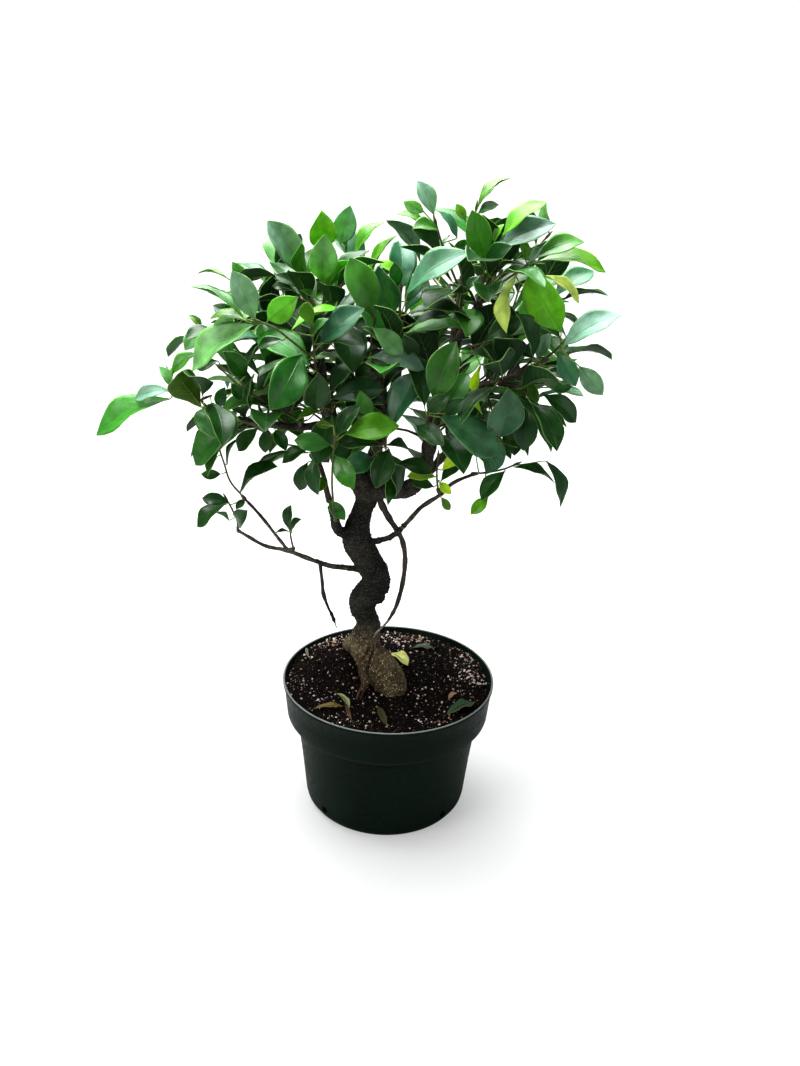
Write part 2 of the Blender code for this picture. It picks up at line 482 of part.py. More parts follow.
class Plan:
    """Where every limb, twig, stem and leaf goes, worked out once for the whole tree."""

    CLEARANCE = 0.9

    def __init__(self):
        self.limbs = {}
        self.twigs = {}
        self.stems = {}
        self.leaves = {}
        self.obstacles = []
        self.dropped = []
        self.draw = random.Random(SEED)
        self.lay_limbs()
        self.lay_stems()
        self.lay_leaves()

    def lay_limbs(self):
        for name, rows in LIMBS.items():
            steps = 2 if rows[0][3] > STOUT_LIMB else 1
            path = smooth_path([seen(*row[:3]) for row in rows], steps)
            radii = smooth_path([Vector((row[3], 0, 0)) for row in rows], steps)
            self.limbs[name] = (path, [r.x for r in radii])
        for name, rows in HANGING_ROOTS.items():
            self.limbs["root_" + name] = ([seen(*row[:3]) for row in rows], [row[3] for row in rows])

    def lay_stems(self):
        """Gives each shoot a woody twig whose last stretch points along the green stem that it carries."""
        for name, spec in [*SHOOTS.items(), *FILLERS.items()]:
            limb, share, stem = spec[:3]
            places = [seen(*place) for place in stem]
            limb_path, limb_radii = self.limbs[limb]
            start = places[0]
            ahead = (places[1] - start).normalized()
            foot, heading = point_along(limb_path, share)
            if share < 1.0:
                reach = (start - foot).length
                bend = foot + heading * (reach * 0.35)
                approach = start - ahead * (reach * 0.3)
                middle = [bezier(foot, bend, approach, start, 0.5)] if reach > LONG_TWIG else []
                self.twigs[name] = [foot, *middle, start - ahead * TWIG_END, start]
            else:
                start = foot + ahead * (limb_radii[-1] + TWIG_END)
                self.twigs[name] = [foot - heading * TWIG_END, foot, start]
            places[0] = start + ahead * GAP
            self.stems[name] = [places[0], *(p for p in places[1:] if (p - start).dot(ahead) > TWIG_END)]
        for path, radii in self.limbs.values():
            self.keep_clear_of("wood", path, radii)
        for path in self.twigs.values():
            self.keep_clear_of("wood", path, [TWIG_RADIUS] * len(path))
        for name, path in self.stems.items():
            self.keep_clear_of(name, path, [STEM_RADIUS] * len(path))

    def keep_clear_of(self, owner, path, radii):
        tube = tree_of(*tube_mesh(path, radii, spare=self.CLEARANCE))
        self.obstacles.append((owner, tube, tube))

    def lay_leaves(self):
        for name, (_, _, _, rows) in SHOOTS.items():
            self.leaves[name] = []
            for row in rows:
                self.settle(name, self.seen_choices(name, row))
        for name, count in BEHIND.items():
            for index in range(count):
                self.settle(name, (leaf for leaf in self.whorl_choices(name, index, count)
                                   if leaf.along.y > BEHIND_LEAN))
        for name, (_, _, _, count) in FILLERS.items():
            self.leaves[name] = []
            for index in range(count):
                self.settle(name, self.whorl_choices(name, index, count))

    def settle(self, name, choices):
        """Keeps the first choice that is clear of everything else, or else notes the leaf as left out."""
        for leaf in choices:
            blade = tree_of(*leaf_mesh(leaf, spare=self.CLEARANCE / 2, petiole=False))
            whole = tree_of(*leaf_mesh(leaf, spare=self.CLEARANCE / 2))
            blocked = any(blade.overlap(own) if owner == name else whole.overlap(other)
                          for owner, own, other in self.obstacles)
            if not blocked:
                self.leaves[name].append(leaf)
                self.obstacles.append((name, blade, whole))
                return
        self.dropped.append(name)

    def seen_choices(self, name, row):
        """A leaf as seen from the front, and the same leaf set deeper, nearer or turned."""
        base_across, base_down, tip_across, tip_down, ratio, letter = row
        stem = self.stems[name]
        tone = TONE_LETTERS[letter.lower()]
        underside = letter.isupper()
        guess = sum(((p - VIEW_EYE).y for p in stem), 0.0) / len(stem)
        near = -(guess + VIEW_EYE.y)
        root = nearest_along(stem, seen(base_across, base_down, near))
        near = -root.y
        for turn_more in (0, 14, -14, 28):
            for shift in (2, 8, -4, 14, -10, 20, -16, 27, -23, 34, -30):
                for lean in (0, 10, -10, 20):
                    base = seen(base_across, base_down, near + shift)
                    flat_tip = seen(tip_across, tip_down, near + shift)
                    across = (flat_tip - base).length
                    reach = 0.0
                    turn = 0.0
                    if ratio > PLUMP:
                        reach = across * math.tan(math.acos(PLUMP / ratio))
                    else:
                        turn = math.acos(ratio / PLUMP)
                    tip = seen(tip_across, tip_down, near + shift + reach + lean)
                    up = self.facing(base, tip, turn + math.radians(turn_more), underside)
                    width = min(PLUMP * (tip - base).length, WIDEST_LEAF)
                    yield Leaf(self.root_for(stem, base), base, tip, up, width, tone, underside)

    def root_for(self, stem, base):
        """Where a petiole leaves the stem's middle line, never nearer to its end than its own thickness."""
        last = (stem[-1] - stem[-2]).normalized()
        return nearest_along([*stem[:-1], stem[-1] - last * PETIOLE], base)

    def facing(self, base, tip, turn, underside):
        """The upper side's direction: towards the viewer, turned by an angle so that it looks up."""
        along = (tip - base).normalized()
        back = (VIEW_EYE - base).normalized()
        front = (back - along * back.dot(along)).normalized()
        aside = along.cross(front)
        lean = aside.z if abs(aside.z) > 0.25 else -aside.x
        aside = aside if lean > 0 else -aside
        if underside:
            front = -front
        return front * math.cos(turn) + aside * math.sin(turn)

    def whorl_choices(self, name, index, count):
        """A leaf that stands off the stem at the next turn of the spiral, and nearby angles."""
        stem = self.stems[name]
        share = (index + 0.7) / count
        root, ahead = point_along(stem, share)
        size = FILLER_LENGTH * (0.85 + 0.3 * self.draw.random())
        spiral = index * 2.4 + self.draw.random()
        spread = math.radians(62 - 40 * share + 8 * self.draw.random())
        tone = DARK if self.draw.random() < 0.6 else MID
        sideways = ahead.cross(Vector((0, 0, 1))).normalized()
        for shrink in (1.0, 0.86):
            for opened in (0.0, 0.3, -0.3, 0.6):
                for swing in (0.0, 0.4, -0.4, 0.8, -0.8, 1.2, -1.2, 1.6, -1.6, 2.1, -2.1, 2.6):
                    out = Quaternion(ahead, spiral + swing) @ sideways
                    along = ahead * math.cos(spread + opened) + out * math.sin(spread + opened)
                    along = (along + Vector((0, 0, -0.12))).normalized()
                    base = root + along * FILLER_PETIOLE
                    tip = base + along * (size * shrink)
                    up = Vector((0, 0, 1)) + ahead * 0.5 - along * 0.2
                    yield Leaf(root, base, tip, up, PLUMP * size * shrink, tone)


def bezier(a, b, c, d, t):
    s = 1 - t
    return a * s ** 3 + b * (3 * s * s * t) + c * (3 * s * t * t) + d * t ** 3


def new_object(name, mesh, collection):
    made = bpy.data.objects.new(name, mesh)
    collection.objects.link(made)
    return made


def mesh_object(name, points, faces, collection):
    """A mesh object from points in millimetres, with its normals facing out."""
    mesh = bpy.data.meshes.new(name)
    mesh.from_pydata([p * MM for p in points], [], faces)
    shell = bmesh.new()
    shell.from_mesh(mesh)
    bmesh.ops.recalc_face_normals(shell, faces=shell.faces)
    shell.to_mesh(mesh)
    shell.free()
    return new_object(name, mesh, collection)


def tube_object(name, path, radii, resolution, collection):
    """A tapered tube as a bevelled curve, made a mesh with its caps welded."""
    curve = bpy.data.curves.new(name, "CURVE")
    curve.dimensions = "3D"
    curve.bevel_depth = MM
    curve.bevel_resolution = resolution
    curve.use_fill_caps = True
    spline = curve.splines.new("POLY")
    spline.points.add(len(path) - 1)
    for point, place, radius in zip(spline.points, path, radii):
        point.co = (*(place * MM), 1.0)
        point.radius = radius
    made = new_object(name + "_curve", curve, collection)
    graph = bpy.context.evaluated_depsgraph_get()
    mesh = bpy.data.meshes.new_from_object(made.evaluated_get(graph))
    bpy.data.objects.remove(made)
    shell = bmesh.new()
    shell.from_mesh(mesh)
    bmesh.ops.remove_doubles(shell, verts=shell.verts, dist=1e-5)
    bmesh.ops.recalc_face_normals(shell, faces=shell.faces)
    shell.to_mesh(mesh)
    shell.free()
    return new_object(name, mesh, collection)


def join_by_union(keeper, others, collection):
    """Unites the helper objects in a collection with keeper, applies it and removes the helpers."""
    for helper in others:
        helper.hide_render = True
        helper.display_type = "WIRE"
    join = keeper.modifiers.new("join", "BOOLEAN")
    join.operation = "UNION"
    join.operand_type = "COLLECTION"
    join.collection = collection
    join.solver = "MANIFOLD"
    apply_modifiers(keeper)
    simplify(keeper)
    for helper in others:
        bpy.data.objects.remove(helper)
    return keeper


def cut_away(target, cutter):
    """Cuts the cutter out of target, applies the cut and removes the cutter."""
    cutter.hide_render = True
    cutter.display_type = "WIRE"
    cut = target.modifiers.new("cut", "BOOLEAN")
    cut.operation = "DIFFERENCE"
    cut.solver = "MANIFOLD"
    cut.object = cutter
    apply_modifiers(target)
    simplify(target)
    bpy.data.objects.remove(cutter)


def apply_modifiers(target):
    graph = bpy.context.evaluated_depsgraph_get()
    mesh = bpy.data.meshes.new_from_object(target.evaluated_get(graph))
    target.modifiers.clear()
    target.data = mesh


def simplify(target):
    """Merges the flat faces that a union leaves split, where that keeps the shell closed."""
    shell = bmesh.new()
    shell.from_mesh(target.data)
    bmesh.ops.dissolve_limit(shell, angle_limit=FLAT_ANGLE, verts=shell.verts, edges=shell.edges)
    bmesh.ops.triangulate(shell, faces=shell.faces)
    if all(len(edge.link_faces) == 2 for edge in shell.edges):
        shell.to_mesh(target.data)
    shell.free()


def material(name, colour, roughness):
    made = bpy.data.materials.new(name)
    made.use_nodes = True
    shader = made.node_tree.nodes["Principled BSDF"]
    shader.inputs["Base Color"].default_value = (*colour, 1.0)
    shader.inputs["Roughness"].default_value = roughness
    shader.inputs["Metallic"].default_value = 0.0
    return made


def dress(made, finish):
    made.data.materials.clear()
    made.data.materials.append(finish)


def turned(name, profile, sides, collection):
    """A closed shell turned from a profile of radius and height, run down its outer side."""
    loop = list(zip(range(len(profile)), [*range(1, len(profile)), 0]))
    rims = [(i, j) for i, j in loop if profile[i][0] or profile[j][0]]
    mesh = bpy.data.meshes.new(name)
    mesh.from_pydata([(r * MM, 0, z * MM) for r, z in profile], rims, [])
    made = new_object(name, mesh, collection)
    screw = made.modifiers.new("turn", "SCREW")
    screw.steps = sides
    screw.render_steps = sides
    screw.use_merge_vertices = True
    screw.merge_threshold = 0.00005
    return made


def pot_profile():
    """The pot's outline, from the rim down the outer side, under the base and up the inner side."""
    band_foot = POT_HEIGHT - BAND_HEIGHT
    inner_base = WALL + FOOT_RECESS
    ring_outside = BASE_RADIUS - 5.0
    ring_inside = ring_outside - FOOT_RING_WIDTH
    return (
        (RIM_RADIUS - WALL, POT_HEIGHT),
        (RIM_RADIUS - 0.5, POT_HEIGHT),
        (RIM_RADIUS, POT_HEIGHT - 0.8),
        (BAND_FOOT_RADIUS, band_foot + 1.5),
        (BAND_FOOT_RADIUS - 1.5, band_foot),
        (BODY_TOP_RADIUS + 1.0, band_foot - 1.0),
        (BODY_TOP_RADIUS, band_foot - 3.0),
        (BASE_RADIUS + 0.6, BASE_ROUNDING),
        (BASE_RADIUS - 1.6, 2.0),
        (ring_outside, 0.0),
        (ring_inside, 0.0),
        (ring_inside - RECESS_SLOPE, FOOT_RECESS),
        (CENTRE_FOOT_RADIUS + RECESS_SLOPE, FOOT_RECESS),
        (CENTRE_FOOT_RADIUS, 0.0),
        (0.0, 0.0),
        (0.0, inner_base),
        (BASE_RADIUS - 6.0, inner_base),
        (BASE_RADIUS - 3.0, BASE_ROUNDING + 1.0),
        (BODY_TOP_RADIUS - WALL, band_foot - 3.0),
        (BAND_FOOT_RADIUS - WALL - 2.0, band_foot + 2.4),
    )


def build_pot(collection, helpers, finish):
    """The pot, with its drain holes cut low in the wall."""
    pot = turned("pot", pot_profile(), POT_SIDES, collection)
    shell = bmesh.new()
    for k in range(DRAINS):
        spin = Matrix.Rotation(math.tau * (k + 0.5) / DRAINS, 4, "Z")
        place = spin @ Matrix.Translation((BASE_RADIUS * MM, 0, DRAIN_HEIGHT * MM))
        lying = place @ Matrix.Rotation(math.radians(90), 4, "Y")
        bmesh.ops.create_cone(shell, cap_ends=True, segments=6, radius1=DRAIN_RADIUS * MM,
                              radius2=DRAIN_RADIUS * MM, depth=DRAIN_DEPTH * MM, matrix=lying)
    mesh = bpy.data.meshes.new("drain_cutter")
    shell.to_mesh(mesh)
    shell.free()
    cut_away(pot, new_object("drain_cutter", mesh, helpers))
    dress(pot, finish)
    return pot


def soil_height(x, y):
    """The soil's relief: a few low mounds and a fine lumpy grain."""
    mounds = math.sin(x * 0.05 + 1.0) * math.cos(y * 0.062) + 0.6 * math.sin((x + y) * 0.09)
    heap = HEAP_HEIGHT * math.exp(-((x - HEAP_X) ** 2 + (y - HEAP_Y) ** 2) / (2 * HEAP_SPREAD ** 2))
    lumps = math.sin(x * 0.61 + math.sin(y * 0.37) * 2.0) * math.sin(y * 0.53 + math.cos(x * 0.41) * 2.0)
    return SOIL_TOP + heap + SOIL_RELIEF * (0.6 * mounds + 0.7 * lumps)


def build_soil(collection, finish, tree_shell):
    """The fill of the pot, with a lumpy top and a plain hole where the tree stands."""
    inner = BODY_TOP_RADIUS - WALL - GAP
    base = BASE_RADIUS - 6.0 - GAP
    floor = WALL + FOOT_RECESS + GAP
    band_foot = POT_HEIGHT - BAND_HEIGHT
    wide = BAND_FOOT_RADIUS - WALL - 2.0 - GAP
    top_height = SOIL_TOP - 2.0
    rise = (top_height - band_foot) / BAND_HEIGHT
    top_radius = wide + (RIM_RADIUS - WALL - wide) * rise - 0.9
    points, rings = [], []
    for radius, height in ((base, floor), (base + 3.0, BASE_ROUNDING + 1.0 + GAP),
                           (inner - 0.2, band_foot - 3.0), (wide - 0.2, band_foot + 3.2),
                           (top_radius, top_height)):
        rings.append(len(points))
        for k in range(SOIL_SPOKES):
            angle = math.tau * k / SOIL_SPOKES
            points.append(Vector((radius * math.cos(angle), radius * math.sin(angle), height)))
    for ring, radius in enumerate(SOIL_RINGS):
        rings.append(len(points))
        for k in range(SOIL_SPOKES):
            angle = math.tau * (k + 0.5 * (ring % 2)) / SOIL_SPOKES
            x, y = radius * math.cos(angle), radius * math.sin(angle)
            points.append(Vector((x, y, soil_height(x, y))))
    points.append(Vector((0, 0, soil_height(0, 0))))
    points.append(Vector((0, 0, floor)))
    faces = []
    for low, high in zip(rings, rings[1:]):
        for k in range(SOIL_SPOKES):
            m = (k + 1) % SOIL_SPOKES
            faces.append([low + k, low + m, high + m, high + k])
    for k in range(SOIL_SPOKES):
        m = (k + 1) % SOIL_SPOKES
        faces.append([rings[-1] + k, rings[-1] + m, len(points) - 2])
        faces.append([m, k, len(points) - 1])
    soil = mesh_object("soil", points, faces, collection)
    cut_away(soil, tree_shell)
    dress(soil, finish)
    return soil


def loft_mesh(sections, sides):
    """Points and faces of a closed loft through rings of the given centre, axis and half sizes."""
    points, faces = [], []
    for centre, axis, half_width, half_depth in sections:
        side = Vector((0, 1, 0)).cross(axis).normalized()
        deep = axis.cross(side).normalized()
        for k in range(sides):
            angle = math.tau * k / sides
            points.append(centre + side * (half_width * math.cos(angle))
                          + deep * (half_depth * math.sin(angle)))
    for i in range(len(sections) - 1):
        for k in range(sides):
            m = (k + 1) % sides
            faces.append([i * sides + k, i * sides + m, (i + 1) * sides + m, (i + 1) * sides + k])
    faces.append(list(range(sides))[::-1])
    faces.append([len(points) - sides + k for k in range(sides)])
    return points, faces


def trunk_sections():
    """The trunk's rings. Their axes lean only part of the way with each bend, so that no two cross."""
    rows = []
    for across, down, near, half_width, half_depth in TRUNK:
        centre = seen(across, down, near)
        rows.append((centre, half_width / pixels_each_mm(centre), half_depth))
    foot = rows[0][0]
    rows.insert(0, (Vector((foot.x, foot.y, SOIL_TOP - ROOT_DEPTH)), 14.0, 14.0))
    sections = []
    for i, (centre, width, depth) in enumerate(rows):
        ahead = (rows[min(i + 1, len(rows) - 1)][0] - rows[max(i - 1, 0)][0]).normalized()
        axis = (ahead + Vector((0, 0, 0.9))).normalized()
        sections.append((centre, axis, width, depth))
    return sections


def wood_pieces(plan, collection):
    """Every branch, twig and root of the tree as a tube, but not the trunk."""
    pieces = []
    for name, (path, radii) in plan.limbs.items():
        roundness = 1 if radii[0] > THIN_LIMB else 0
        pieces.append(tube_object("limb_" + name, path, radii, roundness, collection))
    for name, path in plan.twigs.items():
        radii = [TWIG_RADIUS] * (len(path) - 2) + [TWIG_RADIUS * 0.85, STEM_RADIUS * 1.1]
        pieces.append(tube_object("twig_" + name, path, radii, 0, collection))
    for name, rows in FLARES.items():
        path = [seen(*row[:3]) for row in rows]
        pieces.append(tube_object("foot_" + name, path, [row[3] for row in rows], 2, collection))
    return pieces


def build_tree(plan, collection, helpers, finish):
    tree = mesh_object("tree", *loft_mesh(trunk_sections(), TRUNK_SIDES), collection)
    join_by_union(tree, wood_pieces(plan, helpers), helpers)
    dress(tree, finish)
    return tree


def swollen_copy(tree, helpers):
    """The tree's foot, grown a little on every side, that cuts its hole in the soil."""
    mesh = tree.data.copy()
    shell = bmesh.new()
    shell.from_mesh(mesh)
    shell.normal_update()
    for vert in shell.verts:
        vert.co += vert.normal * (PLANT_HOLE_CLEARANCE * MM)
    shell.to_mesh(mesh)
    shell.free()
    return new_object("soil_cutter", mesh, helpers)


def build_shoot(name, plan, collection, helpers, finishes):
    """One leafy shoot: its green stem with every leaf fused to it."""
    path = plan.stems[name]
    radii = [STEM_RADIUS * (1 - 0.15 * i / (len(path) - 1)) for i in range(len(path))]
    shoot = tube_object("shoot_" + name, path, radii, 0, collection)
    leaves = [leaf for leaf in plan.leaves[name] if leaf.length > TINY_LEAF]
    blades = [mesh_object(f"blade_{i}", *leaf_mesh(leaf), helpers) for i, leaf in enumerate(leaves)]
    join_by_union(shoot, blades, helpers)
    tones = [leaf.tone for leaf in leaves]
    dress(shoot, finishes[max(sorted(set(tones)), key=tones.count)])
    return shoot


def soil_tree(soil):
    return tree_of([v.co for v in soil.data.vertices], [tuple(p.vertices) for p in soil.data.polygons])


def build_fallen(name, soil, collection, finishes):
    """A dropped leaf, let down from above until it rests on the soil's lumps."""
    across, down, tip_across, tip_down, width, tone = FALLEN[name]
    base, tip = on_soil(across, down), on_soil(tip_across, tip_down)
    base.z = tip.z = SOIL_TOP + DROP_HEIGHT
    leaf = Leaf(base, base, tip, Vector((0, 0, 1)), width, tone)
    points, faces = leaf_mesh(leaf, petiole=False)
    ground = soil_tree(soil)
    drop = 0.0
    while drop < DROP_HEIGHT * 2 and not tree_of([(p - Vector((0, 0, drop))) * MM for p in points],
                                                 faces).overlap(ground):
        drop += DROP_STEP
    points = [p - Vector((0, 0, drop - DROP_STEP - GAP)) for p in points]
    fallen = mesh_object(name, points, faces, collection)
    dress(fallen, finishes[tone])
    return fallen


def main():
    for old in list(bpy.data.objects):
        bpy.data.objects.remove(old)
    bonsai = bpy.data.collections.new("tiger bark ficus bonsai")
    helpers = bpy.data.collections.new("helpers")
    bpy.context.scene.collection.children.link(bonsai)
    bpy.context.scene.collection.children.link(helpers)
    finishes = {tone: material("leaf_" + tone, colour, 0.35) for tone, colour in TONE_COLOURS.items()}
    plan = Plan()
    build_pot(bonsai, helpers, material("pot", (0.012, 0.035, 0.022), 0.45))
    tree = build_tree(plan, bonsai, helpers, material("bark", (0.09, 0.075, 0.055), 0.9))
    cutter = swollen_copy(tree, helpers)
    soil = build_soil(bonsai, material("soil", (0.03, 0.02, 0.015), 0.95), cutter)
    for name in plan.stems:
        build_shoot(name, plan, bonsai, helpers, finishes)
    for name in FALLEN:
        build_fallen(name, soil, bonsai, finishes)
    kept = sum(len(leaves) for leaves in plan.leaves.values())
    print(f"{kept} leaves, {len(plan.dropped)} left out: {plan.dropped}")


main()
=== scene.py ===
"""The looks of a tiger bark ficus bonsai in a round nursery pot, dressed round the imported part.

The first half lays the tree out by the part's own tables and rules, so that every leaf, stem and branch lies
where the part has it. A place is written as (across, down, near): across and down are pixels of the
800 by 1066 view from VIEW_EYE, and near is how far, in millimetres, the place lies in front of the upright
plane through the pot's centre. Sizes are in millimetres, and finished meshes in metres, with +Z up and the
front towards -Y. The second half makes the fine pieces, their finishes, the floor, the lights and the camera.
"""

import itertools
import math
import random

import bmesh
import bpy
from mathutils import Matrix, Quaternion, Vector, noise
from mathutils.bvhtree import BVHTree
from mathutils.kdtree import KDTree


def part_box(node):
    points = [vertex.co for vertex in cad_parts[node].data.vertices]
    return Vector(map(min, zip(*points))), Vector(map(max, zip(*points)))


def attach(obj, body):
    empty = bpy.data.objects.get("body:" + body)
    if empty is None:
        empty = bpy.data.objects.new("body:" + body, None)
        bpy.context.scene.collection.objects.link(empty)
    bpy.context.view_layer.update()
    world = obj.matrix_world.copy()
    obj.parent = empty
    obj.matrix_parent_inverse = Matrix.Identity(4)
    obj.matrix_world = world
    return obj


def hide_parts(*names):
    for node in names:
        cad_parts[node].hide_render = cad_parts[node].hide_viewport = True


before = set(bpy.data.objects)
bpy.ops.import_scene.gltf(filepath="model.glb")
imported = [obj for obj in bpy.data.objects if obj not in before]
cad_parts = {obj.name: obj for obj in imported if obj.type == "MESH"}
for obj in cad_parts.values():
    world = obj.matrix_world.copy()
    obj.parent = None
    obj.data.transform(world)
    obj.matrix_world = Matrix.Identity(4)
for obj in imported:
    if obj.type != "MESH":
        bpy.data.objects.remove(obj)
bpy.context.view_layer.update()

MM = 0.001
GAP = 0.3
SEED = 11

# The view in which the tree is laid out
VIEW_EYE = Vector((6.2, -730.0, 557.7))
VIEW_PITCH = math.radians(21.0)
VIEW_ROLL = math.radians(2.1)
VIEW_FOCAL = 860.0
VIEW_MIDDLE = (400.0, 533.0)

# Pot
POT_HEIGHT = 131.0
RIM_RADIUS = 101.5
BAND_HEIGHT = 37.0
BAND_FOOT_RADIUS = 96.0
BODY_TOP_RADIUS = 85.0
BASE_RADIUS = 78.0
BASE_ROUNDING = 7.0
FOOT_RECESS = 3.0
FOOT_RING_WIDTH = 8.0
CENTRE_FOOT_RADIUS = 22.0
RECESS_SLOPE = 2.0
WALL = 2.0
DRAINS = 4
DRAIN_RADIUS = 3.5
DRAIN_HEIGHT = 12.0
DRAIN_DEPTH = 14.0

# Soil
SOIL_TOP = 124.5
SOIL_RELIEF = 1.6
HEAP_HEIGHT, HEAP_SPREAD = 8.0, 24.0
HEAP_X, HEAP_Y = -42.0, 46.0

# Leaf
PLUMP = 0.47
BLADE_THICKNESS = 0.8
PETIOLE = 1.3
FOLD = 0.22
BOW = 0.09
PETIOLE_ROOT = 0.8
# Where the part's blades have their sections: shares of the length, and of the half width there
STATIONS = ((0.3, 0.88), (0.68, 0.88))
LONG_LEAF = 44.0
WIDEST_LEAF = 30.0
FILLER_LENGTH = 48.0
FILLER_PETIOLE = 9.0
SMALL_LEAF = 24.0
SMALL_STATIONS = ((0.5, 0.95),)
# A leaf's tip droops by this share of its bow, and a petiole's upper edges rise this share of its half width
DROOP = 0.6
KEEL_FLATNESS = 0.6
# Ways in which a leaf seen from the front is tried: turned further, in degrees, and set nearer and its tip
# leant towards the viewer, in millimetres
SEEN_TURNS = (0, 14, -14, 28)
SEEN_SHIFTS = (2, 8, -4, 14, -10, 20, -16, 27, -23, 34, -30)
SEEN_LEANS = (0, 10, -10, 20)
# A leaf whose side rises less than this is turned to the left instead of up
LEVEL_SIDE = 0.25
# Leaves that stand by rule: the spiral's turn in radians, the angle off the stem in degrees and how much less
# it is at the stem's tip, how far a leaf sags, and the sizes, openings and swings in which it is tried
SPIRAL_TURN = 2.4
SPREAD, SPREAD_LESS = 62, 40
LEAF_SAG = 0.12
RULED_SIZES = (1.0, 0.86)
RULED_OPENINGS = (0.0, 0.3, -0.3, 0.6)
RULED_SWINGS = (0.0, 0.4, -0.4, 0.8, -0.8, 1.2, -1.2, 1.6, -1.6, 2.1, -2.1, 2.6)
YOUNG, LIME, BRIGHT, MID, DARK = "young", "lime", "bright", "mid", "dark"
# The last three of these tones are leaf green with painted sheen and painted light from above mixed into it
OLIVE, LIT_MINT, SHEEN_TEAL, SHEEN_HAZE = "olive", "lit_mint", "sheen_teal", "haze"

# Wood
STOUT_LIMB = 7.0
TWIG_RADIUS = 2.0
STEM_RADIUS = 1.3
TWIG_END = 2.0
LONG_TWIG = 45.0
TWIG_BEND, TWIG_APPROACH = 0.35, 0.3
TEST_SIDES = 5

# The trunk's sections, from the soil up: across, down, near, half width in pixels, half depth
TRUNK = (
    (393, 694, 17, 14, 13),
    (390, 683, 14, 16.5, 16),
    (384, 673, 11, 18, 18),
    (377, 664, 9, 17.5, 18),
    (370, 655, 7, 16, 17),
    (365, 645, 5, 15, 16),
    (365, 635, 3, 14, 15),
    (368, 626, 2, 12.5, 13.5),
    (367, 618, 2, 11, 12),
    (363, 610, 2, 12, 12),
    (363, 601, 2, 14, 13),
    (370, 591, 4, 15.5, 13.5),
    (376, 581, 6, 14.5, 13.5),
    (373, 569, 5, 14, 13),
    (365, 556, 3, 14.5, 13),
    (358, 542, 1, 15, 13.5),
    (357, 528, 0, 13, 12.5),
    (361, 514, 0, 10.5, 10.5),
    (366, 501, 0, 11, 10.5),
    (367, 490, 0, 10.5, 9.5),
)

# Branches: across, down, near, radius
LIMBS = {
    "left": ((367, 497, 2, 8.5), (358, 481, 8, 8), (349, 462, 14, 7), (341, 440, 18, 6.4),
             (332, 416, 22, 5.4), (324, 392, 30, 4.4), (318, 372, 40, 3.4)),
    "far_left": ((338, 430, 18, 4.6), (320, 426, 12, 4), (300, 427, 10, 3.4), (276, 425, 12, 3),
                 (250, 422, 14, 2.4), (226, 417, 18, 2), (206, 409, 20, 1.6)),
    "left_back": ((345, 452, 16, 5.4), (334, 428, -18, 5), (318, 396, -46, 4.2), (300, 362, -66, 3.4),
                  (288, 330, -74, 2.6)),
    "left_top": ((326, 398, 26, 3.8), (322, 368, 8, 3.4), (320, 340, 6, 2.8), (320, 318, 8, 2.4)),
    "centre": ((368, 494, 0, 7.6), (371, 470, -4, 6.6), (378, 442, -10, 5.8), (386, 414, -14, 5),
               (394, 388, -14, 4.2), (399, 364, -8, 3.4), (401, 346, 8, 2.8)),
    "centre_front": ((375, 452, -6, 4.6), (379, 434, 14, 4.2), (382, 412, 30, 3.6), (378, 388, 42, 3.2),
                     (373, 366, 50, 2.6)),
    "centre_back": ((382, 428, -12, 4.4), (384, 396, -50, 3.8), (378, 362, -78, 3.2), (372, 330, -90, 2.6)),
    "right": ((368, 492, 0, 8), (384, 490, 4, 7.6), (404, 490, 8, 7), (419, 480, 12, 6.6),
              (427, 458, 14, 6.2), (432, 430, 12, 5.8), (441, 398, 8, 5.2), (450, 364, 4, 4.6),
              (456, 330, 0, 4), (460, 300, -4, 3.4), (463, 276, -6, 2.8)),
    "right_front": ((429, 446, 14, 3.8), (430, 438, 36, 3.2), (424, 434, 58, 2.6)),
    "right_out": ((444, 386, 8, 4), (464, 388, 22, 3.4), (487, 384, 36, 2.8), (512, 377, 48, 2.4),
                  (529, 369, 54, 2.1)),
    "right_upper": ((453, 348, 2, 3.8), (466, 326, 20, 3.2), (478, 306, 36, 2.8), (482, 290, 46, 2.4)),
    "right_back": ((446, 380, 6, 4.2), (466, 362, -36, 3.6), (490, 340, -62, 3), (512, 316, -76, 2.4)),
    "right_low_back": ((414, 487, 10, 4.6), (434, 466, -34, 4), (458, 440, -62, 3.2), (482, 418, -78, 2.6)),
    "low_left": ((362, 570, 4, 3.4), (345, 567.5, 8, 2.9), (329, 565.5, 10, 2.6), (306, 557.5, 11, 2.5),
                 (287, 550.5, 9, 2.3), (266, 546, 4, 2), (249, 537, 0, 1.9), (238, 530.5, -4, 1.7)),
    "low_left_twig": ((288, 550.5, 9, 1.9), (279, 539, 8, 1.8), (260, 515, 5, 1.7), (244, 498, 3, 1.5)),
    "left_low": ((352, 536, 4, 5.5), (338, 529, 10, 4.6), (334, 515, 14, 3.8), (331, 506, 17, 3.2)),
    "right_thin": ((366, 543, 4, 3.2), (388, 538, 8, 2.8), (401, 529, 12, 2.6), (421, 507.5, 20, 2.4),
                   (440, 495, 27, 2.2), (453, 483, 30, 2), (474, 474, 30, 1.6)),
}

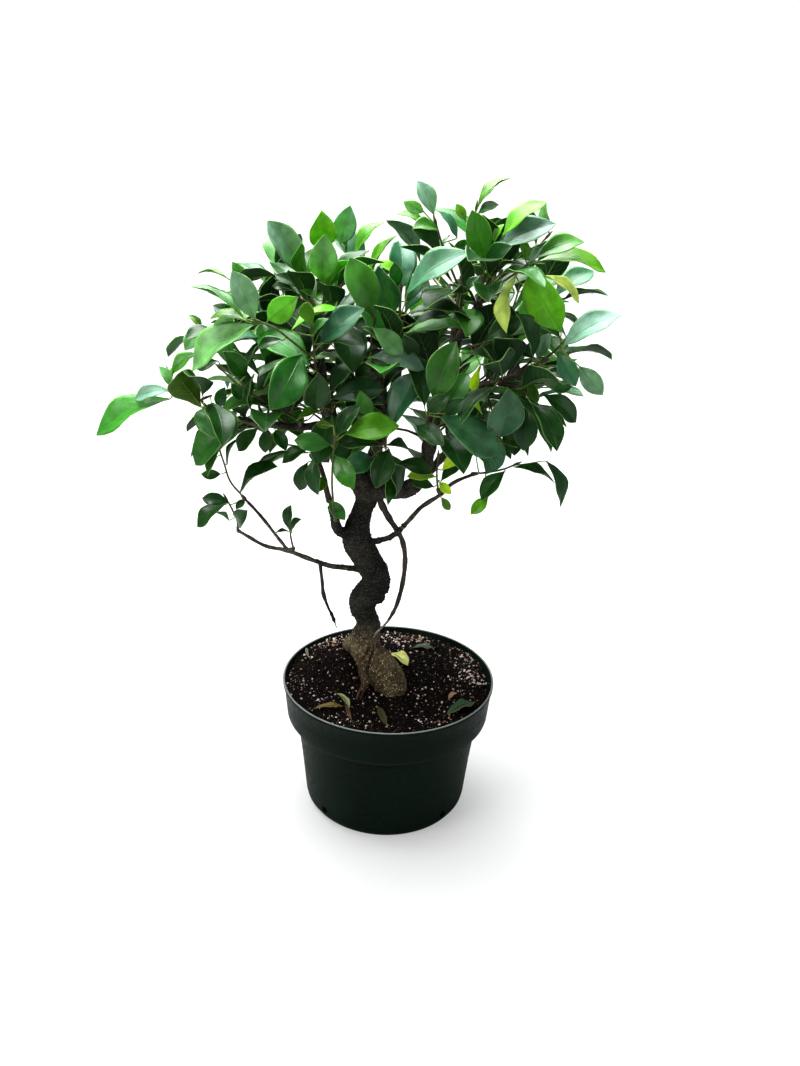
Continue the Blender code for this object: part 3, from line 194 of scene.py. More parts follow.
# Roots that hang in the air: the right one comes back to the trunk and the left one stays in the air, the two
# in front go down into the soil, and the last two are the pale ends of the right and the left one
HANGING_ROOTS = {
    "right": ((378, 494, 2, 3.6), (383, 507, 2, 3.2), (391, 521, 0, 2.8), (401, 537, -2, 2.4),
              (405, 556, -2, 2.3), (403, 581, 0, 2.2), (397, 604, 2, 1.9), (391, 616, 6, 1.6),
              (387, 622, 8, 0.8)),
    "left": ((320, 562.5, 10, 1.8), (322, 580, 4, 1.5), (323.5, 594, -6, 2), (328, 607, -18, 1.2),
             (331.5, 614, -25, 1.6), (333.8, 620, -31, 1.7), (335, 623, -34, 0.7)),
    "front": ((368, 650, 8, 1.2), (361, 660, 25, 1.1), (359.5, 672, 30, 1), (362, 684, 33, 1),
              (357, 698, 38, 1.2), (356, 712, 40, 1)),
    "front_thin": ((371, 664, 14, 1.1), (367, 676, 27, 0.9), (364, 688, 33, 0.9), (358, 706, 39, 0.9)),
    "right_tail": ((389, 620, 8, 0.9), (382.5, 627, 13, 1), (377, 632, 15, 1), (374, 637, 15, 0.8)),
    "left_tip": ((334.6, 621.5, -33, 0.6), (335.6, 625, -36, 0.5), (336.8, 628, -38, 0.4)),
}
# Thick roots that flare from the trunk's foot, and two knots at its elbow
FLARES = {
    "toe": ((377, 662, 12, 13), (384, 673, 14, 13.5), (391, 683, 17, 12), (396, 694, 20, 9)),
    "heel": ((367, 634, 0, 10.5), (359.5, 640, -13, 9.5), (353.5, 643, -30, 8.5), (349.5, 645, -46, 7.5)),
    "ridge": ((356, 649, -34, 8), (362.5, 658, -22, 8), (368, 668, -9, 9), (375, 680, 6, 10)),
    "back": ((368, 640, 0, 10.5), (371, 650, -12, 10), (377, 663, -24, 8.5)),
    "left": ((370, 660, 10, 11), (367, 676, 14, 6), (365, 690, 18, 3)),
    "upper_knot": ((383.5, 589, 6, 5), (386, 592, 6, 4)),
    "lower_knot": ((380, 598, 6, 5.5), (383.5, 600, 6, 4)),
}
# Creases in the front of the foot, each a line of pixels, and how deep and how wide they are pressed; the
# bark's finish also paints shade along them
CREASES = (((370, 648), (367, 653), (362.5, 659.5)), ((374, 650), (371, 657), (368.5, 665), (366, 675)))
CREASE_DEPTH, CREASE_WIDTH = 1.9, 2.6
ROOT_DEPTH, ROOT_RADIUS = 26.0, 14.0
# How strongly the axes of the trunk's sections are kept upright
TRUNK_UPRIGHT = 0.9

# Leafy shoots seen from the front. Each has the limb that it grows from and how far along it, its stem,
# and its leaves: base across, base down, tip across, tip down, width seen over length seen, and the letter
# of its tone in TONE_LETTERS, in capitals where the underside shows.
SHOOTS = {
    "far_left": ("far_left", 1.0, ((206, 409, 20), (189, 401, 22), (174, 390, 24), (169, 375, 24)), (
        (169, 399, 96, 435, .20, "m"), (170, 391, 134, 398, .28, "t"), (201, 406, 177, 374, .72, "O"),
        (171, 387, 160, 366, .42, "i"), (171, 380, 182, 361, .16, "b"), (172, 374, 194, 352, .40, "m"))),
    "left_low_front": ("far_left", .50, ((276, 425, 22), (262, 424, 30), (246, 422, 36), (238, 421, 38)), (
        (236, 422, 194, 465, .32, "m"), (240, 420, 205, 422, .16, "m"), (258, 428, 237, 451, .44, "d"),
        (266, 428, 265, 453, .48, "d"), (275, 430, 286, 450, .56, "d"))),
    "left_hanging": ("left_low", 1.0, ((331, 506, 17), (327, 492, 22), (323, 474, 26), (317, 455, 30),
                                       (310, 447, 32)), (
        (329, 500, 345, 520, .50, "m"), (309, 448, 282, 463, .38, "d"), (308, 462, 299, 491, .38, "d"),
        (316, 456, 316, 495, .38, "d"), (326, 476, 317, 492, .60, "o"))),
    "low_left_end": ("low_left", 1.0, ((238, 530.5, -4), (237, 520, -5), (232, 509, -6), (227, 500, -6)), (
        (229, 503, 202, 498, .42, "d"), (226, 504, 197, 527, .28, "d"), (245, 499, 236, 509, .56, "d"),
        (239, 525, 246, 511, .30, "d"), (229, 520, 213, 512, .20, "d"))),
    "low_left_rise": ("low_left_twig", 1.0, ((244, 498, 3), (230, 481, 2), (224, 463, 0), (219, 448, 0)), (
        (240, 493, 276, 465, .28, "d"), (221, 474, 201, 474, .50, "d"), (220, 449, 202, 458, .46, "b"),
        (218, 456, 205, 464, .46, "b"), (227, 464, 237, 438, .12, "d"))),
    "low_left_sprig": ("low_left", .60, ((293, 547, 12), (291, 538, 13), (290, 530, 14)), (
        (288, 528, 291, 505, .42, "d"), (288, 531, 275, 533, .30, "d"), (291, 533, 300, 519, .26, "d"))),
    "front_left": ("left", 1.0, ((318, 372, 40), (312, 358, 60), (294, 343, 74), (276, 329, 84),
                                 (260, 322, 88)), (
        (254, 325, 189, 368, .31, "i"), (255, 319, 233, 271, .48, "t"), (243, 317, 191, 286, .15, "m"),
        (249, 322, 210, 317, .16, "b"), (268, 320, 297, 298, .56, "l"), (301, 355, 271, 409, .60, "m"),
        (283, 340, 257, 348, .38, "d"), (314, 359, 333, 357, .32, "m"))),
    "left_shoulder": ("left_back", .60, ((290, 352, -30), (262, 340, -14), (232, 332, 0), (206, 330, 8)), (
        (202, 328, 189, 315, .36, "o"), (199, 329, 185, 350, .64, "i"), (212, 329, 186, 338, .28, "d"),
        (238, 321, 213, 305, .40, "d"))),
    "left_crest": ("left_back", .90, ((283, 320, -62), (262, 300, -58), (240, 284, -54)), (
        (226, 277, 198, 271, .14, "b"), (273, 288, 267, 273, .60, "m"), (286, 290, 258, 291, .20, "m"),
        (245, 287, 232, 262, .40, "m"))),
    "left_pocket": ("far_left", .30, ((298, 420, 24), (266, 402, 32), (240, 386, 36), (222, 370, 38)), (
        (246, 376, 225, 352, .58, "d"), (218, 361, 195, 368, .42, "d"), (219, 407, 224, 388, .52, "d"),
        (240, 400, 232, 384, .42, "d"), (254, 374, 251, 412, .20, "d"))),
    "crest_left": ("left_top", .80, ((320, 322, 4), (312, 302, 4), (307, 284, 4), (304, 272, 4)), (
        (301, 276, 268, 220, .38, "t"), (301, 271, 276, 246, .42, "L"), (308, 280, 301, 243, .34, "B"),
        (299, 288, 275, 275, .34, "d"), (294, 291, 272, 285, .34, "d"))),
    "crest_middle": ("left_top", 1.0, ((320, 318, 8), (323, 304, 22), (324, 290, 28), (323, 276, 30)), (
        (322, 249, 322, 212, .68, "b"), (322, 282, 324, 235, .50, "i"), (325, 292, 349, 260, .34, "L"),
        (318, 300, 300, 290, .30, "m"))),
    "crest_right": ("left_top", .55, ((326, 336, -16), (338, 300, -28), (345, 268, -34), (346, 250, -34)), (
        (340, 243, 350, 207, .58, "t"), (355, 256, 381, 220, .27, "b"), (346, 247, 336, 222, .40, "m"),
        (352, 270, 372, 262, .30, "d"))),
    "left_centre": ("left", .88, ((323, 386, 42), (316, 368, 66), (314, 350, 78), (312, 334, 84)), (
        (313, 326, 304, 303, .58, "L"), (292, 330, 342, 308, .12, "l"), (320, 343, 364, 308, .44, "g"),
        (321, 344, 363, 344, .20, "d"), (312, 336, 328, 318, .30, "m"))),
    "centre_crest": ("centre_front", 1.0, ((373, 366, 50), (371, 350, 58), (372, 334, 62), (374, 324, 62)), (
        (373, 319, 350, 257, .41, "m"), (372, 328, 403, 354, .42, "i"), (369, 358, 425, 367, .24, "t"),
        (360, 363, 345, 362, .34, "m"), (378, 340, 362, 326, .20, "m"))),
    "centre_fan": ("centre", 1.0, ((401, 346, 8), (399, 332, 26), (400, 312, 34), (401, 292, 34)), (
        (394, 314, 378, 268, .54, "g"), (399, 283, 377, 259, .24, "l"), (398, 286, 394, 262, .52, "d"),
        (408, 302, 420, 272, .46, "g"), (406, 312, 428, 278, .36, "g"))),
    "centre_arch": ("centre", .92, ((402, 356, 20), (404, 342, 50), (401, 326, 62), (400, 314, 66)), (
        (407, 294, 469, 251, .27, "g"), (409, 313, 471, 314, .20, "d"), (406, 334, 466, 327, .22, "m"),
        (414, 324, 450, 315, .28, "d"), (416, 358, 404, 336, .44, "d"))),
    "centre_low": ("left_low", .55, ((334, 512, 30), (332, 484, 52), (333, 458, 72), (335, 440, 80)), (
        (345, 434, 399, 425, .44, "l"), (331, 445, 294, 440, .47, "m"), (338, 435, 358, 405, .44, "d"),
        (336, 456, 353, 488, .56, "m"), (333, 426, 316, 424, .50, "O"))),
    "centre_drop": ("centre_front", .35, ((381, 430, 30), (385, 446, 50), (386, 440, 66), (386, 432, 70)), (
        (389, 449, 376, 488, .58, "d"), (371, 458, 343, 469, .70, "g"), (380, 446, 338, 443, .28, "d"),
        (370, 417, 360, 392, .64, "m"), (396, 464, 432, 472, .34, "d"))),
    "left_heart": ("left", .72, ((330, 408, 36), (324, 407, 50), (321, 404, 56), (322, 398, 58)), (
        (332, 399, 384, 387, .40, "d"), (315, 409, 319, 376, .48, "d"), (306, 384, 309, 405, .60, "d"),
        (322, 411, 296, 420, .30, "o"))),
    "right_heart": ("right_front", 1.0, ((424, 434, 58), (426, 424, 68), (428, 415, 72), (428, 408, 72)), (
        (433, 399, 455, 342, .48, "m"), (440, 417, 498, 455, .39, "g"), (428, 412, 449, 395, .52, "d"),
        (446, 414, 464, 399, .56, "d"), (416, 426, 444, 445, .42, "d"))),
    "right_lime": ("right_thin", .72, ((438, 488, 33), (437, 480, 37), (437, 470, 40), (438, 458, 42)), (
        (442, 470, 469, 451, .42, "y"), (436, 477, 407, 476, .40, "y"), (439, 482, 451, 494, .54, "y"),
        (434, 487, 411, 482, .44, "d"), (441, 481, 461, 464, .40, "d"), (441, 497, 450, 510, .46, "o"))),
    "right_low_end": ("right_thin", 1.0, ((474, 474, 30), (490, 472, 30), (504, 469, 30), (514, 465, 30)), (
        (505, 471, 481, 500, .44, "d"), (515, 467, 555, 482, .25, "d"), (546, 461, 561, 507, .20, "d"),
        (477, 456, 497, 470, .38, "d"), (488, 497, 471, 514, .62, "l"), (470, 452, 461, 467, .46, "d"))),
    "right_hanging": ("right_out", .90, ((524, 372, 40), (529, 384, 36), (529, 396, 34), (528, 404, 34)), (
        (527, 404, 524, 451, .48, "d"), (520, 413, 513, 456, .44, "d"), (533, 381, 535, 405, .44, "o"),
        (530, 379, 526, 404, .24, "o"), (543, 395, 577, 422, .34, "d"), (572, 386, 554, 390, .50, "m"))),
    "right_end": ("right_out", 1.0, ((529, 369, 54), (543, 360, 58), (556, 350, 62), (562, 344, 64)), (
        (563, 346, 621, 315, .38, "t"), (561, 332, 530, 271, .48, "l"), (560, 338, 538, 318, .38, "d"),
        (558, 353, 576, 386, .50, "g"), (537, 358, 550, 334, .52, "t"), (534, 359, 508, 345, .38, "d"),
        (533, 356, 521, 314, .34, "d"), (545, 372, 573, 378, .30, "d"), (579, 366, 603, 395, .58, "t"))),
    "right_lime_drop": ("right", .70, ((452, 352, 24), (464, 348, 52), (476, 345, 62), (484, 343, 64)), (
        (480, 366, 482, 415, .22, "y"), (482, 346, 497, 380, .14, "d"), (485, 341, 521, 318, .42, "d"))),
    "right_leaf_oval": ("right_out", .45, ((484, 388, 48), (490, 404, 54), (495, 424, 58), (497, 436, 58)), (
        (500, 437, 508, 389, .60, "g"), (484, 402, 469, 424, .34, "d"), (501, 443, 518, 447, .30, "d"))),
    "right_crown": ("right_upper", 1.0, ((482, 290, 46), (484, 276, 50), (487, 262, 52), (496, 248, 52),
                                         (501, 239, 52)), (
        (484, 259, 472, 210, .49, "m"), (492, 257, 555, 221, .24, "t"), (503, 236, 546, 200, .30, "l"),
        (494, 243, 504, 224, .36, "l"), (486, 264, 511, 246, .40, "d"), (486, 273, 524, 262, .14, "d"),
        (481, 276, 466, 290, .30, "d"))),
    "right_crest_left": ("right", .92, ((460, 290, 8), (450, 266, 16), (442, 244, 18), (436, 224, 18)), (
        (434, 215, 418, 180, .44, "t"), (424, 212, 404, 202, .66, "i"), (424, 223, 398, 213, .34, "b"),
        (441, 252, 414, 229, .28, "d"), (438, 230, 414, 226, .34, "m"), (457, 238, 438, 211, .34, "g"))),
    "right_crest": ("right", 1.0, ((463, 276, -6), (468, 250, -14), (474, 222, -18), (476, 210, -18)), (
        (466, 221, 456, 204, .46, "b"), (478, 206, 509, 176, .27, "b"), (452, 251, 470, 241, .46, "d"),
        (481, 266, 473, 249, .28, "m"), (478, 214, 498, 204, .30, "d"))),
    "right_shoulder": ("right_upper", .72, ((478, 302, 50), (500, 284, 56), (516, 273, 58), (530, 262, 58)), (
        (536, 258, 584, 240, .37, "m"), (529, 263, 541, 247, .38, "t"), (538, 262, 607, 267, .12, "b"),
        (526, 261, 520, 238, .40, "b"), (517, 274, 505, 333, .18, "c"), (521, 284, 534, 292, .30, "y"),
        (546, 276, 579, 303, .18, "c"))),
    "right_back_crest": ("right_back", .55, ((484, 330, -46), (506, 290, -44), (530, 256, -38),
                                             (546, 238, -34)), (
        (549, 233, 545, 202, .40, "i"), (536, 244, 522, 206, .36, "d"), (548, 250, 562, 236, .40, "m"),
        (520, 262, 500, 240, .40, "d"))),
}

# Leafy shoots of the back and the inside, whose leaves stand round the stem by rule: the limb and how far
# along it, the stem, and the number of leaves.
FILLERS = {
    "inner_left_top": ("left_back", .30, ((312, 392, -26), (294, 360, -14), (276, 332, -6)), 5),
    "inner_left_low": ("left", .35, ((334, 452, -4), (308, 448, -16), (284, 444, -24)), 5),
    "inner_centre": ("centre", .50, ((376, 404, -22), (356, 384, -34), (340, 360, -40)), 5),
    "inner_centre_right": ("centre", .72, ((402, 386, -28), (420, 368, -36), (436, 348, -42)), 5),
    "back_left_low": ("left_back", .35, ((322, 414, -60), (292, 406, -78), (262, 400, -84)), 5),
    "back_left_side": ("left_back", .60, ((296, 366, -80), (262, 356, -92), (234, 352, -92)), 6),
    "back_left_crest": ("left_back", 1.0, ((288, 330, -74), (280, 300, -84), (276, 276, -84)), 6),
    "back_left_deep": ("left_back", .75, ((300, 346, -92), (306, 322, -112), (308, 300, -116)), 5),
    "back_inner_left": ("centre_back", .45, ((372, 388, -84), (350, 384, -108), (332, 380, -118)), 5),
    "back_centre_crest": ("centre_back", 1.0, ((372, 330, -90), (366, 304, -96), (364, 284, -92)), 6),
    "back_centre_deep": ("centre_back", .80, ((382, 350, -100), (400, 338, -122), (412, 324, -128)), 5),
    "back_centre_low": ("centre_back", .25, ((392, 410, -52), (404, 404, -84), (410, 402, -104)), 5),
    "back_middle_crest": ("right", .88, ((452, 300, -34), (436, 282, -56), (424, 266, -62)), 5),
    "back_right_crest": ("right_back", .80, ((504, 310, -84), (492, 280, -92), (484, 256, -88)), 6),
    "back_right_side": ("right_back", 1.0, ((512, 316, -76), (534, 306, -84), (556, 300, -82)), 6),
    "back_right_deep": ("right_back", .50, ((474, 344, -84), (466, 326, -110), (458, 312, -118)), 5),
    "back_right_low": ("right_low_back", 1.0, ((482, 418, -78), (508, 408, -84), (530, 398, -82)), 6),
    "back_right_under": ("right_low_back", .70, ((452, 428, -90), (450, 400, -110), (452, 382, -116)), 5),
    "inner_right": ("right", .60, ((462, 394, -10), (490, 372, -16), (516, 352, -18)), 5),
    "inner_left": ("left", .55, ((322, 420, 4), (290, 396, -10), (266, 378, -14)), 5),
}

# How many more leaves stand behind a front shoot, pointing away from the viewer
BEHIND = {"left_pocket": 2, "left_heart": 2, "left_centre": 2, "centre_fan": 2, "centre_drop": 2,
          "right_heart": 1, "right_lime_drop": 3, "right_leaf_oval": 2, "left_shoulder": 2}
BEHIND_LEAN = 0.25

# Leaves that lie on the soil: base across, base down, tip across, tip down, width, tone
FALLEN = {
    "fallen_leaf_yellow": (391, 655, 408, 668, 13, "yellowed"),
    "fallen_leaf_green": (447, 717, 476, 706, 16, "shed"),
    "fallen_leaf_grey": (413, 649, 434, 649, 10, "greyed"),
    "fallen_leaf_tan": (313, 712, 343, 710, 6, "dry"),
    "fallen_leaf_sliver": (337, 696, 350, 710, 6, "sliver"),
}
# Smaller litter, too thin for the part: the same, and how high its ends stand off the soil
LITTER = {
    "olive": (377, 707, 387, 725, 5.5, "withered", 1.5, 1.0),
    "tail": (345, 706, 351, 720, 3, "browned", 2.0, 1.5),
    "pale": (306, 651, 308, 660, 2.8, "washed", 2.0, 1.5),
    "chip": (448, 701, 456, 695, 5, "chip", 1.0, 3.0),
}

# Tones: the letters that stand for them in the tables, and their colours
# The pale bluish tones of the letters i, t and g hold the leaves' green with painted sheen and painted light
# from above
TONE_LETTERS = {"d": DARK, "m": MID, "b": BRIGHT, "l": LIME, "y": YOUNG, "c": "curled", "o": OLIVE,
                "i": LIT_MINT, "t": SHEEN_TEAL, "g": SHEEN_HAZE}
TINTS = {DARK: (0.011, 0.062, 0.009), MID: (0.034, 0.166, 0.018), BRIGHT: (0.092, 0.285, 0.014),
         LIME: (0.122, 0.430, 0.012), YOUNG: (0.600, 1.000, 0.020), "curled": (0.76, 1.00, 0.22),
         OLIVE: (0.068, 0.185, 0.012), LIT_MINT: (0.175, 0.415, 0.140), SHEEN_TEAL: (0.165, 0.312, 0.222),
         SHEEN_HAZE: (0.045, 0.158, 0.078), "yellowed": (0.66, 0.70, 0.24), "dry": (0.17, 0.125, 0.025),
         "greyed": (0.045, 0.08, 0.06), "sliver": (0.34, 0.38, 0.17), "chip": (0.48, 0.29, 0.20),
         "shed": (0.040, 0.105, 0.042), "withered": (0.040, 0.042, 0.016), "browned": (0.085, 0.045, 0.022),
         "washed": (0.22, 0.25, 0.17)}
# How a leaf's own colour differs from its tone's: how much lighter, and how much warmer, less for pale tones
TINT_LIGHT = (0.75, 1.3)
TINT_WARM, PALE_WARM = (-0.2, 0.25), (-0.06, 0.1)
WARM_TONES = (DARK, MID, BRIGHT, LIME, OLIVE)
DRY_TONES = ("yellowed", "dry", "sliver", "chip", "withered", "browned", "washed")
# Tones of the leaves that stand by rule, each with the running total of their shares
# Some of these leaves take the tones with painted sheen, whichever way they face
RULED_TONES = ((0.39, DARK), (0.64, MID), (0.76, SHEEN_HAZE), (0.85, BRIGHT), (0.91, SHEEN_TEAL), (0.96, LIT_MINT),
               (1.0, LIME))

# A leaf beside the broken stub left of the trunk, a row like those of SHOOTS
HANGING_LEAF = (329, 500, 345, 520, .50, "m")

# Sprigs inside the crown: small dark leaves on bare twigs, kept out of the gaps that show the light behind.
# A gap is its middle across and down and its half width and half height in the view.
SPRIGS = 70
SPRIG_TRIES = SPRIGS * 12
SPRIG_LEAVES = 3
INNER_TONES = (DARK, MID, OLIVE)
SPRIG_SEED = 23
SPRIG_REACH = (22.0, 52.0)
SPRIG_LIMBS = ("left", "left_back", "left_top", "centre", "centre_front", "centre_back", "right",
               "right_front", "right_out", "right_upper", "right_back", "right_low_back", "far_left")
SPRIG_FRONT, SPRIG_BACK = -70.0, 125.0
CROWN_REACH = 24.0
CROWN_GAPS = ((410, 410, 22, 34), (228, 394, 16, 10), (400, 470, 12, 18), (300, 470, 14, 30),
              (250, 452, 24, 10))

# Fine leaf
LEAF_UV = "leaf_uv"
LEAF_NUMBERS = ("size", "breadth", "droop", "twist", "phase")
LEAF_VECTORS = ("foot", "along", "up")
LEAF_OUTLINE = ((0, 0.05), (0.05, 0.13), (0.15, 0.40), (0.3, 0.76), (0.45, 0.97), (0.55, 1.0), (0.69, 0.94),
                (0.80, 0.75), (0.89, 0.48), (0.945, 0.25), (0.98, 0.10), (1, 0.015))
LEAF_FOLD = 0.30
# How much closer the blade's rows lie at its foot and tip than in its middle
END_CROWDING = 0.6
FULLNESS = 1.1
FOLD_ROUNDING = 1.35
RIPPLES, RIPPLE_SLANT = 11.0, 1.3
LEAF_WAVE = 0.10
# How far fine blades droop, less where the underside shows, and twist
FINE_DROOPS, UNDER_DROOP = (0.15, 1.1), 0.35
FINE_TWISTS = (-0.5, 0.5)
BLADE_STATIONS, BLADE_SPANS = 17, 11
BLADE_SKIN = 0.00045
WELD = 0.00002
LIVE_LOOKS = ("leaf_upper", "leaf_under", "leaf_rim")
VEIN_ROWS = 13.0
VEIN_SLANT = 2.6
MIDRIB_STATIONS = (0.12, 0.3, 0.5, 0.7)
PETIOLE_THICK, RIB_THIN = 0.52, 0.18
RIB_DEPTH = 0.3
BUD_LENGTH = 8.0
BUD_SHAPE = ((-0.1, 0.8), (0.1, 1.15), (0.35, 1.2), (0.7, 0.7), (1.0, 0.12))
TINT_SEED = 31
STEM_STEPS = 4
STEM_TAPER = 0.2
FINE_STEM_RADIUS = STEM_RADIUS * 0.72
SPRIG_STEM_RADIUS = 0.8
SPRIG_WOOD_RADII = (1.3, 1.25, 1.2, 1.15, 1.1, 1.0, 0.95, 0.9, 0.8)
STUB_RADII = tuple(3.1 - 0.13 * step for step in range(13))

# Fine tubes: how many sides, and how deep, in metres, and how close their lumps are
STALK_TUBE = (8, 0.0003, 300.0)
TWIG_TUBE = (7, 0.0006, 260.0)
BRANCH_TUBE = (10, 0.0011, 190.0)
ROOT_TUBE = (9, 0.0008, 240.0)
FLARE_TUBE = (16, 0.0, 100.0)

# Fine wood
JOINED_LIMBS = ("left", "centre", "right", "low_left", "left_low", "right_thin")
JOIN_REACH = 46.0
WOOD_STEP, ROOT_STEP = 3.0, 2.5
# Knots along a branch: how much thicker it is at them, and how close they are
KNOT_SWELL, KNOT_TURN = 0.10, 1.1
LOW_LIMBS = ("low_left", "low_left_twig", "right_thin")
LOW_THINNING = 0.82
TRUNK_STEPS = 5
TRUNK_FINE_SIDES = 28
TRUNK_VOXEL = 1.0
BARK_RELIEF = {"Swell": 0.0034, "Wrinkle": 0.0030, "Wart": 0.0013}
# The radii, in metres, between which a branch's bark turns to that of slender wood, and the heights between
# which the trunk's turns to that of its fork and of its foot
SLENDER_RADII = (0.0044, 0.0024)
FORK_HEIGHTS = (0.292, 0.322)
FOOT_HEIGHTS = (0.200, 0.158)

# Fine pot, soil and dropped leaves
POT_FINE_SIDES = 160
CRISP_ANGLE = math.radians(40.0)
# How much wider the fine pot is below its band than the part's straight-sided one
BODY_SWELL = 3.2
SOIL_STEP = 1.3
SOIL_FINE_SPOKES = 224
SOIL_INSET = 1.2
# The rings of the fill's side below its top: radius and height
SOIL_SIDES = ((BAND_FOOT_RADIUS - WALL - 2.6, POT_HEIGHT - BAND_HEIGHT + 3.2),
              (BODY_TOP_RADIUS - WALL - GAP - 0.2, POT_HEIGHT - BAND_HEIGHT - 3.0),
              (BASE_RADIUS - 3.0 - GAP, BASE_ROUNDING + 1.5),
              (BASE_RADIUS - 6.0 - GAP, WALL + FOOT_RECESS + GAP))
GRAIN_NOISE = 500.0
PERLITE = {"Density": 520000.0, "Spacing": 0.0012, "Smallest": 0.0005, "Largest": 0.0034,
           "Stretch": (1.0, 0.85, 0.75), "Lump": 0.0012, "Seed": 5}
CRUMBS = {"Density": 170000.0, "Spacing": 0.0017, "Smallest": 0.0012, "Largest": 0.0072,
          "Stretch": (1.0, 0.5, 0.4), "Lump": 0.0012, "Seed": 9}
# How likely perlite is: anywhere on the soil, how much that varies, and at least
PERLITE_CHANCE, PERLITE_VARIES, PERLITE_LEAST = 0.14, 0.12, 0.02
# Where perlite lies thick: across and down, half width and half height in the view, and how much more
PERLITE_PATCHES = ((332, 640, 20, 7, 0.75), (410, 637, 26, 7, 0.9), (470, 659, 12, 8, 0.7),
                   (474, 678, 14, 8, 0.6), (345, 723, 16, 4, 0.4), (398, 731, 14, 3, 0.4),
                   (440, 723, 14, 4, 0.5), (293, 676, 6, 10, 0.35), (322, 697, 8, 5, 0.25))
FALLEN_SEED = 3
FALLEN_STALK = 5.0
DRY_FOLD, DROPPED_BOW, DROPPED_WAVE = 0.55, BOW * 0.6, 0.22
# How high a dropped leaf's foot and tip lie in the height that its solid takes up
DROPPED_FOOT, DROPPED_TIP = 0.35, 0.55

# Speckled finishes: name, roughness, depth of relief in metres, specular level, colour, colour of patches and
# of specks, scales of patches, grain and specks, share of specks, and how strong the grain is if not 0.5
SPECKLED = {
    "stalk": ("green_stem", 0.5, 0.0001, 0.5, (0.085, 0.130, 0.028), (0.120, 0.075, 0.032),
              (0.05, 0.03, 0.015), (40, 500, 600), 0.15),
    "petiole": ("petiole", 0.45, 0.0001, 0.5, (0.18, 0.32, 0.04), (0.30, 0.42, 0.08),
                (0.12, 0.16, 0.03), (60, 500, 600), 0.1),
    "twig": ("twig_bark", 0.7, 0.0003, 0.5, (0.030, 0.019, 0.012), (0.075, 0.045, 0.027),
             (0.16, 0.13, 0.09), (50, 420, 520), 0.25),
    "root": ("root_bark", 0.7, 0.0004, 0.5, (0.080, 0.058, 0.043), (0.042, 0.036, 0.028),
             (0.30, 0.26, 0.20), (55, 420, 500), 0.25),
    "pale_root": ("pale_root_bark", 0.65, 0.0003, 0.5, (0.42, 0.38, 0.28), (0.22, 0.19, 0.13),
                  (0.60, 0.55, 0.42), (80, 420, 500), 0.25),
    "young_root": ("young_root_bark", 0.65, 0.0003, 0.5, (0.190, 0.085, 0.055), (0.095, 0.045, 0.030),
                   (0.32, 0.22, 0.16), (60, 420, 500), 0.2),
    "soil": ("potting_soil", 0.9, 0.0009, 0.12, (0.0028, 0.0018, 0.0016), (0.0070, 0.0040, 0.0031),
             (0.50, 0.40, 0.34), (60, 600, 640), 0.09),
    "crumb": ("bark_crumb", 0.85, 0.0004, 0.15, (0.0045, 0.0028, 0.0023), (0.021, 0.0110, 0.0075),
              (0.42, 0.33, 0.28), (170, 700, 760), 0.05),
    "perlite": ("perlite_grain", 0.8, 0.0003, 0.5, (0.92, 0.79, 0.71), (0.56, 0.38, 0.28),
                (0.90, 0.85, 0.80), (36, 900, 900), 0.2),
}
GRAIN_SPREAD = 0.08
# The bark's three faces and the pot's plastic, from the colour on
STOUT_BARK = ((0.017, 0.018, 0.015), (0.040, 0.038, 0.030), (0.27, 0.26, 0.20), (45, 420, 780), 0.62, 1.0)
SLIM_BARK = ((0.170, 0.145, 0.112), (0.080, 0.068, 0.053), (0.30, 0.27, 0.21), (70, 420, 640), 0.25, 1.0)
FOOT_BARK = ((0.225, 0.175, 0.098), (0.120, 0.088, 0.050), (0.96, 0.86, 0.62), (50, 380, 500), 0.58, 1.0)
PLASTIC = ((0.0014, 0.0108, 0.0042), (0.0022, 0.0155, 0.0064), (0.010, 0.028, 0.020), (14, 260, 300), 0.05)
# Leaf finishes: roughness and its spread, how strong veins, midrib and margin are, the veins' and the
# margin's colour, and the shader's other constants
LEAF_LOOKS = {
    "leaf_upper": (0.36, 0.07, (0.06, 0.45, 0.42), (0.12, 0.32, 0.06), (0.34, 0.58, 0.14), {
        "Specular_IOR_Level": 0.44, "Subsurface_Weight": 0.25, "Subsurface_Radius": (0.6, 1.0, 0.15),
        "Subsurface_Scale": 0.003}),
    "leaf_under": (0.55, 0.05, (0.35, 0.7, 0.5), (0.30, 0.46, 0.16), (0.42, 0.60, 0.20), {
        "Specular_IOR_Level": 0.3}),
    "leaf_rim": (0.5, 0.05, (0.0, 0.0, 0.55), (0.30, 0.46, 0.16), (0.38, 0.60, 0.17), {}),
    "leaf_fallen": (0.55, 0.08, (0.35, 0.6, 0.4), (0.55, 0.50, 0.20), (0.45, 0.33, 0.12), {}),
}

# Camera and stage
SENSOR = 36.0
PICTURE_HEIGHT = 1066
FLOOR_REACH = 2.4
SKY_LIGHT = 0.12
SWEEP_RADIUS = 1.6
SWEEP_STEPS = 24
FLOOR_SIDES = 96
VIEW_GAMMA = 0.86
# The soft lights: place in metres, the height that each is aimed at, size, power and colour
LIGHTS = {
    "overhead": ((-0.25, 0.35, 2.0), 0.35, 1.9, 126.0, (0.97, 0.99, 1.0)),
    "window": ((-1.3, -1.0, 1.3), 0.3, 0.9, 17.0, (1.0, 0.98, 0.95)),
    "fill": ((1.4, -0.9, 0.9), 0.25, 1.2, 5.5, (0.95, 0.98, 1.0)),
}


def view_axes():
    """The view's directions: ahead, right and up."""
    ahead = Vector((0.0, math.cos(VIEW_PITCH), -math.sin(VIEW_PITCH)))
    right = Vector((1.0, 0.0, 0.0))
    up = right.cross(ahead)
    return (ahead, right * math.cos(VIEW_ROLL) + up * math.sin(VIEW_ROLL),
            up * math.cos(VIEW_ROLL) - right * math.sin(VIEW_ROLL))


def sight(across, down):
    """Direction from the eye through a pixel of the view."""
    ahead, right, up = view_axes()
    x = (across - VIEW_MIDDLE[0]) / VIEW_FOCAL
    y = (down - VIEW_MIDDLE[1]) / VIEW_FOCAL
    return ahead + right * x - up * y


